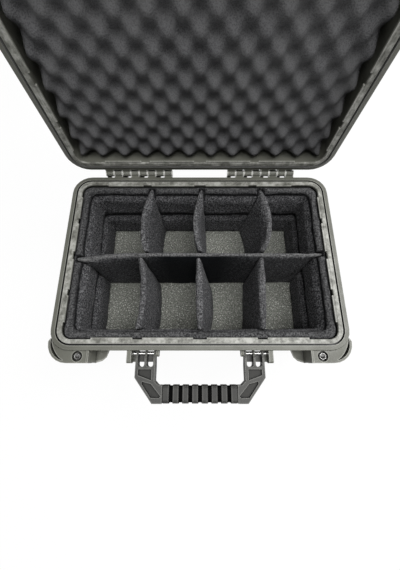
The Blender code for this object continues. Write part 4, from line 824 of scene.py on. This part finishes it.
def liner():
    """The padded wall liner, in three tiers between its seams."""
    rings = []
    holds = []
    for inset, height, share in liner_rows():
        ring = [(*place, height) for place in rounded_ring(inset, max(RIM_R - inset, LINER_CORNER))]
        rings.append(ring)
        holds += [share] * len(ring)
    piece = skin("padded_liner", rings, LINER_FABRIC, closed=True)
    hold(piece, holds)
    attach(piece, "base")
    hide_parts("liner_wall")
    return piece


def uneven_liner(spot, normal):
    """Sag and folds of the liner: more at its roll, none at its hidden back or in the tucks."""
    inset_x = RIM_W / 2 - abs(spot.x)
    inset_y = RIM_D / 2 - abs(spot.y)
    show = smoothed((min(inset_x, inset_y) - LINER_OUT - LINER_STILL) / LINER_EASE)
    below = smoothed((LINER_SEAMS[0] - spot.z) / LINER_EASE)
    fold = math.exp(-((inset_x - inset_y) / FOLD_HALF) ** 2) * below
    deep = wobble(spot, *LINER_SAG) + wobble(spot, *LINER_RIPPLE) - FOLD_DEEP * fold
    return pressed(spot + normal * deep * show)


def pressed(spot):
    """The roll pressed down under the dividers' tucked ends."""
    for way, middle, half in tucks():
        out = spot.x * way[0] + spot.y * way[1]
        inset = (RIM_W if way[0] else RIM_D) / 2 - out
        across = abs((spot.y if way[0] else spot.x) - middle)
        if TUCK_IN - TUCK_AHEAD < inset < LINER_FOOT_IN and across < TUCK_KEEP:
            foot = mixed(DIVIDER_FOOT, DIVIDER_TOP, TUCK_FOOT_SHARE) - PRESS_FOOT
            head = mixed(DIVIDER_FOOT, DIVIDER_TOP, TUCK_SHARE) - PRESS_HEAD
            level = mixed(head, foot, smoothed((inset - TUCK_IN) / (LINER_TOP_IN - TUCK_IN)))
            give = 1 - smoothed((across - half) / TUCK_EASE)
            spot.z = mixed(spot.z, min(spot.z, level), give)
    return spot


def divider_section():
    """A divider's section from the middle of its foot, as (side share, height)."""
    shoulder = DIVIDER_TOP - DIVIDER_CAP
    side = [(0.5, mixed(DIVIDER_FOOT, shoulder, step / DIVIDER_STEPS_UP))
            for step in range(DIVIDER_STEPS_UP + 1)]
    top = []
    for step in range(1, DIVIDER_STEPS_TOP):
        angle = math.pi * step / DIVIDER_STEPS_TOP
        rise = (DIVIDER_CAP - DIVIDER_CAP_DIP) * math.sin(angle) ** DIVIDER_CAP_POWER
        top.append((0.5 * math.cos(angle), shoulder + rise))
    return [(0.0, DIVIDER_FOOT)] + side + top + [(-share, height) for share, height in side[::-1]]


def end_taper(along, length):
    """How thick a divider is near its ends, as a share."""
    near = min(along, 1 - along) * length
    return mixed(DIVIDER_END_SHARE, 1, smoothed(near / DIVIDER_END_RUN) ** 0.5)


def divider_rows(length, spot_at, tapers=(1, 1)):
    """A divider's rings of points, from a function of the share along it, side share and height."""
    section = divider_section()
    steps = round(length / DIVIDER_STEP)
    rings = []
    for step in range(steps + 1):
        along = step / steps
        thick = (DIVIDER_T - 2 * DIVIDER_SLIM) * (1 + DIVIDER_SWELL_SHARE * math.sin(math.pi * along))
        thick *= end_taper(along, length) * mixed(*tapers, along)
        rings.append([spot_at(along, thick * share, height) for share, height in section])
    return rings


def divider_up(height):
    """A height as a share of the way up a divider."""
    return (height - DIVIDER_FOOT) / (DIVIDER_TOP - DIVIDER_FOOT)


def divider_end(height, tucked):
    """How far in from the rim a divider's end stands; a tucked one reaches into the liner's roll."""
    clear = liner_envelope(height) + CLEAR
    if not tucked:
        return clear
    tuck = smoothed((divider_up(height) - TUCK_FOOT_SHARE) / (TUCK_SHARE - TUCK_FOOT_SHARE))
    return mixed(clear, TUCK_IN, tuck)


def long_middle(x, up_share):
    """The long divider's middle plane: it leans back and curls forward at its left end."""
    straight = mixed(LONG_Y_FOOT, LONG_Y_TOP, up_share)
    length = RIM_W * LONG_CURL_SHARE
    past = min(1.0, max(0.0, -x - (RIM_W / 2 - LINER_TOP_IN - length)) / length)
    return straight - LONG_CURL * up_share * past ** 2


def long_divider():
    """The long divider, from wall to wall, with both ends tucked into the liner's roll."""
    def spot_at(along, side, height):
        end = RIM_W / 2 - divider_end(height, True)
        x = mixed(-end, end, along)
        return Vector((x, long_middle(x, divider_up(height)) + side, height))

    rings = divider_rows(RIM_W - 2 * LINER_TOP_IN, spot_at, LONG_TAPER_SHARES)
    return padded_divider("padded_divider_long", rings, "divider_long", LONG_FABRIC)


def through(ends, share):
    """A smooth curve through three values at shares 0, a half and 1."""
    first, middle, last = ends
    return (first * (1 - share) * (1 - 2 * share) + 4 * middle * share * (1 - share)
            + last * share * (2 * share - 1))


def short_divider(node, tops, feet, row):
    """A bowed divider from the liner's wall in to the long divider; row is 1 behind it, -1 in front."""
    face = DIVIDER_T / 2 * (1 + DIVIDER_SWELL_SHARE) + CLEAR

    def spot_at(along, side, height):
        up = divider_up(height)
        outer = row * (RIM_D / 2 - divider_end(height, row > 0))
        lean = LONG_Y_TOP if row > 0 else mixed(LONG_Y_FOOT, LONG_Y_TOP, up)
        x = RIM_W / 2 * mixed(through(feet, along), through(tops, along), up)
        return Vector((x + side, mixed(outer, lean + row * face, along), height))

    rings = divider_rows(RIM_D / 2 - LINER_TOP_IN, spot_at)
    return padded_divider("padded_" + node, rings, node, DIVIDER_FABRIC)


def in_roll(spot):
    """Whether a place lies out over the liner's roll, where a tucked end is squeezed."""
    return abs(spot[0]) > RIM_W / 2 - LINER_TOP_IN or spot[1] > RIM_D / 2 - LINER_TOP_IN


def padded_divider(name, rings, node, look):
    """A divider's padded piece, held at its foot and its ends, in place of its solid."""
    piece = skin(name, rings, look)
    foot = DIVIDER_FOOT + HELD_FOOT
    ends = (0, len(rings) - 1)
    hold(piece, [1.0 if row in ends or spot[2] < foot or in_roll(spot) else 0.0
                 for row, ring in enumerate(rings) for spot in ring])
    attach(piece, node)
    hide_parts(node)
    return piece


def uneven_divider(spot, normal):
    """A padded face's slight dents and ripples."""
    return spot + normal * (wobble(spot, *DIVIDER_SAG) + wobble(spot, *DIVIDER_RIPPLE))


def fabric_pieces():
    """Make, fill and finish the liner and the seven dividers."""
    wall = liner()
    boards = [long_divider()]
    for row, word, table in ((1, "back", BACK_DIVIDER_SHARES), (-1, "front", FRONT_DIVIDER_SHARES)):
        for index, (tops, feet) in enumerate(table):
            boards.append(short_divider("divider_%s_%d" % (word, index + 1), tops, feet, row))
    puff([wall, *boards])
    finished(wall, uneven_liner)
    for board in boards:
        finished(board, uneven_divider)


def floor_pad():
    """The bare foam slab on the floor."""
    low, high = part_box("floor_pad")
    count_x = round((high.x - low.x) / PAD_STEP)
    count_y = round((high.y - low.y) / PAD_STEP)
    rows = []
    for row in range(count_y + 1):
        y = mixed(low.y, high.y, row / count_y)
        line = []
        for column in range(count_x + 1):
            x = mixed(low.x, high.x, column / count_x)
            near = min(x - low.x, high.x - x, y - low.y, high.y - y)
            fall = (1 - smoothed(near / PAD_EDGE)) * PAD_EDGE_FALL
            line.append((x, y, high.z - PAD_SINK - fall + wobble((x, y, 0), *PAD_SAG)))
        rows.append(line)
    piece = slab("foam_floor", rows, low.z, LOOKS["bare_foam"])
    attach(piece, "base")
    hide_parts("floor_pad")


def slab(name, rows, level, look):
    """A slab with a shaped top: rows of top points over a flat underside."""
    count = len(rows[0])
    points = [point for line in rows for point in line]
    total = len(points)
    points += [(point[0], point[1], level) for point in points]
    faces = []
    for row in range(len(rows) - 1):
        for column in range(count - 1):
            first = row * count + column
            quad = (first, first + 1, first + count + 1, first + count)
            faces.append(quad)
            faces.append(tuple(total + index for index in reversed(quad)))
    edge = list(range(count)) + [row * count + count - 1 for row in range(1, len(rows))]
    edge += [total - 1 - column for column in range(1, count)]
    edge += [row * count for row in range(len(rows) - 2, 0, -1)]
    for index, first in enumerate(edge):
        following = edge[(index + 1) % len(edge)]
        faces.append((first, total + first, total + following, following))
    return made_mesh(name, points, faces, look)


def turned_open(point):
    """A place in the shut lid moved to where the open lid has it."""
    y = point[1] - HINGE[1]
    z = point[2] - HINGE[2]
    cosine = math.cos(-LID_OPEN)
    sine = math.sin(-LID_OPEN)
    return (point[0], HINGE[1] + y * cosine - z * sine, HINGE[2] + y * sine + z * cosine)


def lid_foam():
    """Convoluted foam in the lid, its crests level with the plain slab's face."""
    half_x = RIM_W / 2 - WAVES_IN
    half_y = RIM_D / 2 - WAVES_IN
    wave_x = (RIM_W / 2 - WAVES_REPEAT_IN) / WAVES_ALONG
    wave_y = (RIM_D / 2 - WAVES_REPEAT_IN) / WAVES_UP
    count_x = round(2 * half_x / WAVES_STEP)
    count_y = round(2 * half_y / WAVES_STEP)
    rows = []
    for row in range(count_y + 1):
        y = mixed(-half_y, half_y, row / count_y)
        line = []
        for column in range(count_x + 1):
            x = mixed(-half_x, half_x, column / count_x)
            wave = math.cos(math.pi * x / wave_x) * math.cos(math.pi * y / wave_y)
            line.append((x, y, WAVES_FACE + WAVES_DEPTH * (0.5 - 0.5 * wave)))
        rows.append(line)
    piece = slab("foam_lid", rows, WAVES_BACK, LID_FOAM)
    for vertex in piece.data.vertices:
        vertex.co = turned_open(vertex.co)
    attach(piece, "lid")
    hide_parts("lid_foam")


# Carried solids

def dress_solids():
    """Give each carried solid its finish and soft edges."""
    slots = {entry["node"]: entry["material_slot"] for entry in frame["record"]["subparts"]}
    for name, piece in frame["nodes"].items():
        piece.data.materials.clear()
        look = DULL_STEEL if name.startswith("padlock") else OWN_LOOKS.get(name, LOOKS[slots[name]])
        piece.data.materials.append(look)
        weld = piece.modifiers.new("weld", "WELD")
        weld.merge_threshold = WELD_GAP
        bevel = piece.modifiers.new("bevel", "BEVEL")
        bevel.width = EDGE_SOFT
        bevel.segments = 2
        bevel.limit_method = "ANGLE"
        bevel.angle_limit = EDGE_ANGLE


# Stage

def floor():
    """A wide pale floor that looks white to the camera and keeps a faint shadow."""
    corners = ((-1, -1), (1, -1), (1, 1), (-1, 1))
    points = [(x * STAGE_HALF, y * STAGE_HALF, -STAGE_DROP) for x, y in corners]
    look = bpy.data.materials.new("floor")
    look.use_nodes = True
    tree = look.node_tree
    shader = tree.nodes["Principled BSDF"]
    shader.inputs["Base Color"].default_value = (0.9, 0.9, 0.9, 1)
    shader.inputs["Roughness"].default_value = 0.9
    glow = tree.nodes.new("ShaderNodeEmission")
    paths = tree.nodes.new("ShaderNodeLightPath")
    share = tree.nodes.new("ShaderNodeMath")
    share.operation = "MULTIPLY"
    share.inputs[1].default_value = STAGE_WHITE_SHARE
    both = tree.nodes.new("ShaderNodeMixShader")
    tree.links.new(paths.outputs["Is Camera Ray"], share.inputs[0])
    tree.links.new(share.outputs["Value"], both.inputs["Fac"])
    tree.links.new(shader.outputs["BSDF"], both.inputs[1])
    tree.links.new(glow.outputs["Emission"], both.inputs[2])
    tree.links.new(both.outputs["Shader"], tree.nodes["Material Output"].inputs["Surface"])
    piece = made_mesh("floor", points, [(0, 1, 2, 3)], look, flat=True)


def world():
    """An even pale room: white where it's seen, plainer in reflections and plainest as light."""
    made = bpy.data.worlds.new("room")
    made.use_nodes = True
    tree = made.node_tree
    tree.nodes.clear()
    paths = tree.nodes.new("ShaderNodeLightPath")
    mirrored = tree.nodes.new("ShaderNodeMath")
    mirrored.operation = "MULTIPLY"
    mirrored.inputs[1].default_value = ROOM_MIRRORED_SHARE
    most = tree.nodes.new("ShaderNodeMath")
    most.operation = "MAXIMUM"
    light = tree.nodes.new("ShaderNodeBackground")
    seen = tree.nodes.new("ShaderNodeBackground")
    both = tree.nodes.new("ShaderNodeMixShader")
    out = tree.nodes.new("ShaderNodeOutputWorld")
    light.inputs["Color"].default_value = (1, 1, 1, 1)
    light.inputs["Strength"].default_value = ROOM_LIGHT
    seen.inputs["Color"].default_value = (1, 1, 1, 1)
    seen.inputs["Strength"].default_value = 1.0
    tree.links.new(paths.outputs["Is Glossy Ray"], mirrored.inputs[0])
    tree.links.new(paths.outputs["Is Camera Ray"], most.inputs[0])
    tree.links.new(mirrored.outputs["Value"], most.inputs[1])
    tree.links.new(most.outputs["Value"], both.inputs["Fac"])
    tree.links.new(light.outputs["Background"], both.inputs[1])
    tree.links.new(seen.outputs["Background"], both.inputs[2])
    tree.links.new(both.outputs["Shader"], out.inputs["Surface"])
    bpy.context.scene.world = made


def lamp(name, place, power):
    """A soft square lamp that looks at the case."""
    data = bpy.data.lights.new(name, "AREA")
    data.shape = "SQUARE"
    data.size = LAMP_SIZE
    data.energy = power
    made = bpy.data.objects.new(name, data)
    made.location = place
    made.rotation_euler = (Vector(LAMP_TARGET) - Vector(place)).to_track_quat("-Z", "Y").to_euler()
    bpy.context.scene.collection.objects.link(made)


def lights():
    """One lamp from the right and one from above."""
    lamp("key", KEY_PLACE, KEY_POWER)
    lamp("top", TOP_PLACE, TOP_POWER)


def camera():
    """The photograph's view."""
    data = bpy.data.cameras.new("camera")
    data.lens = LENS
    data.clip_start = CAMERA_NEAR
    made = bpy.data.objects.new("camera", data)
    made.location = CAMERA_PLACE
    made.rotation_euler = (CAMERA_TILT, 0, 0)
    bpy.context.scene.collection.objects.link(made)
    bpy.context.scene.camera = made


camera()
fabric_pieces()
floor_pad()
lid_foam()
dress_solids()
floor()
world()
lights()
bpy.context.scene.view_settings.view_transform = "Standard"
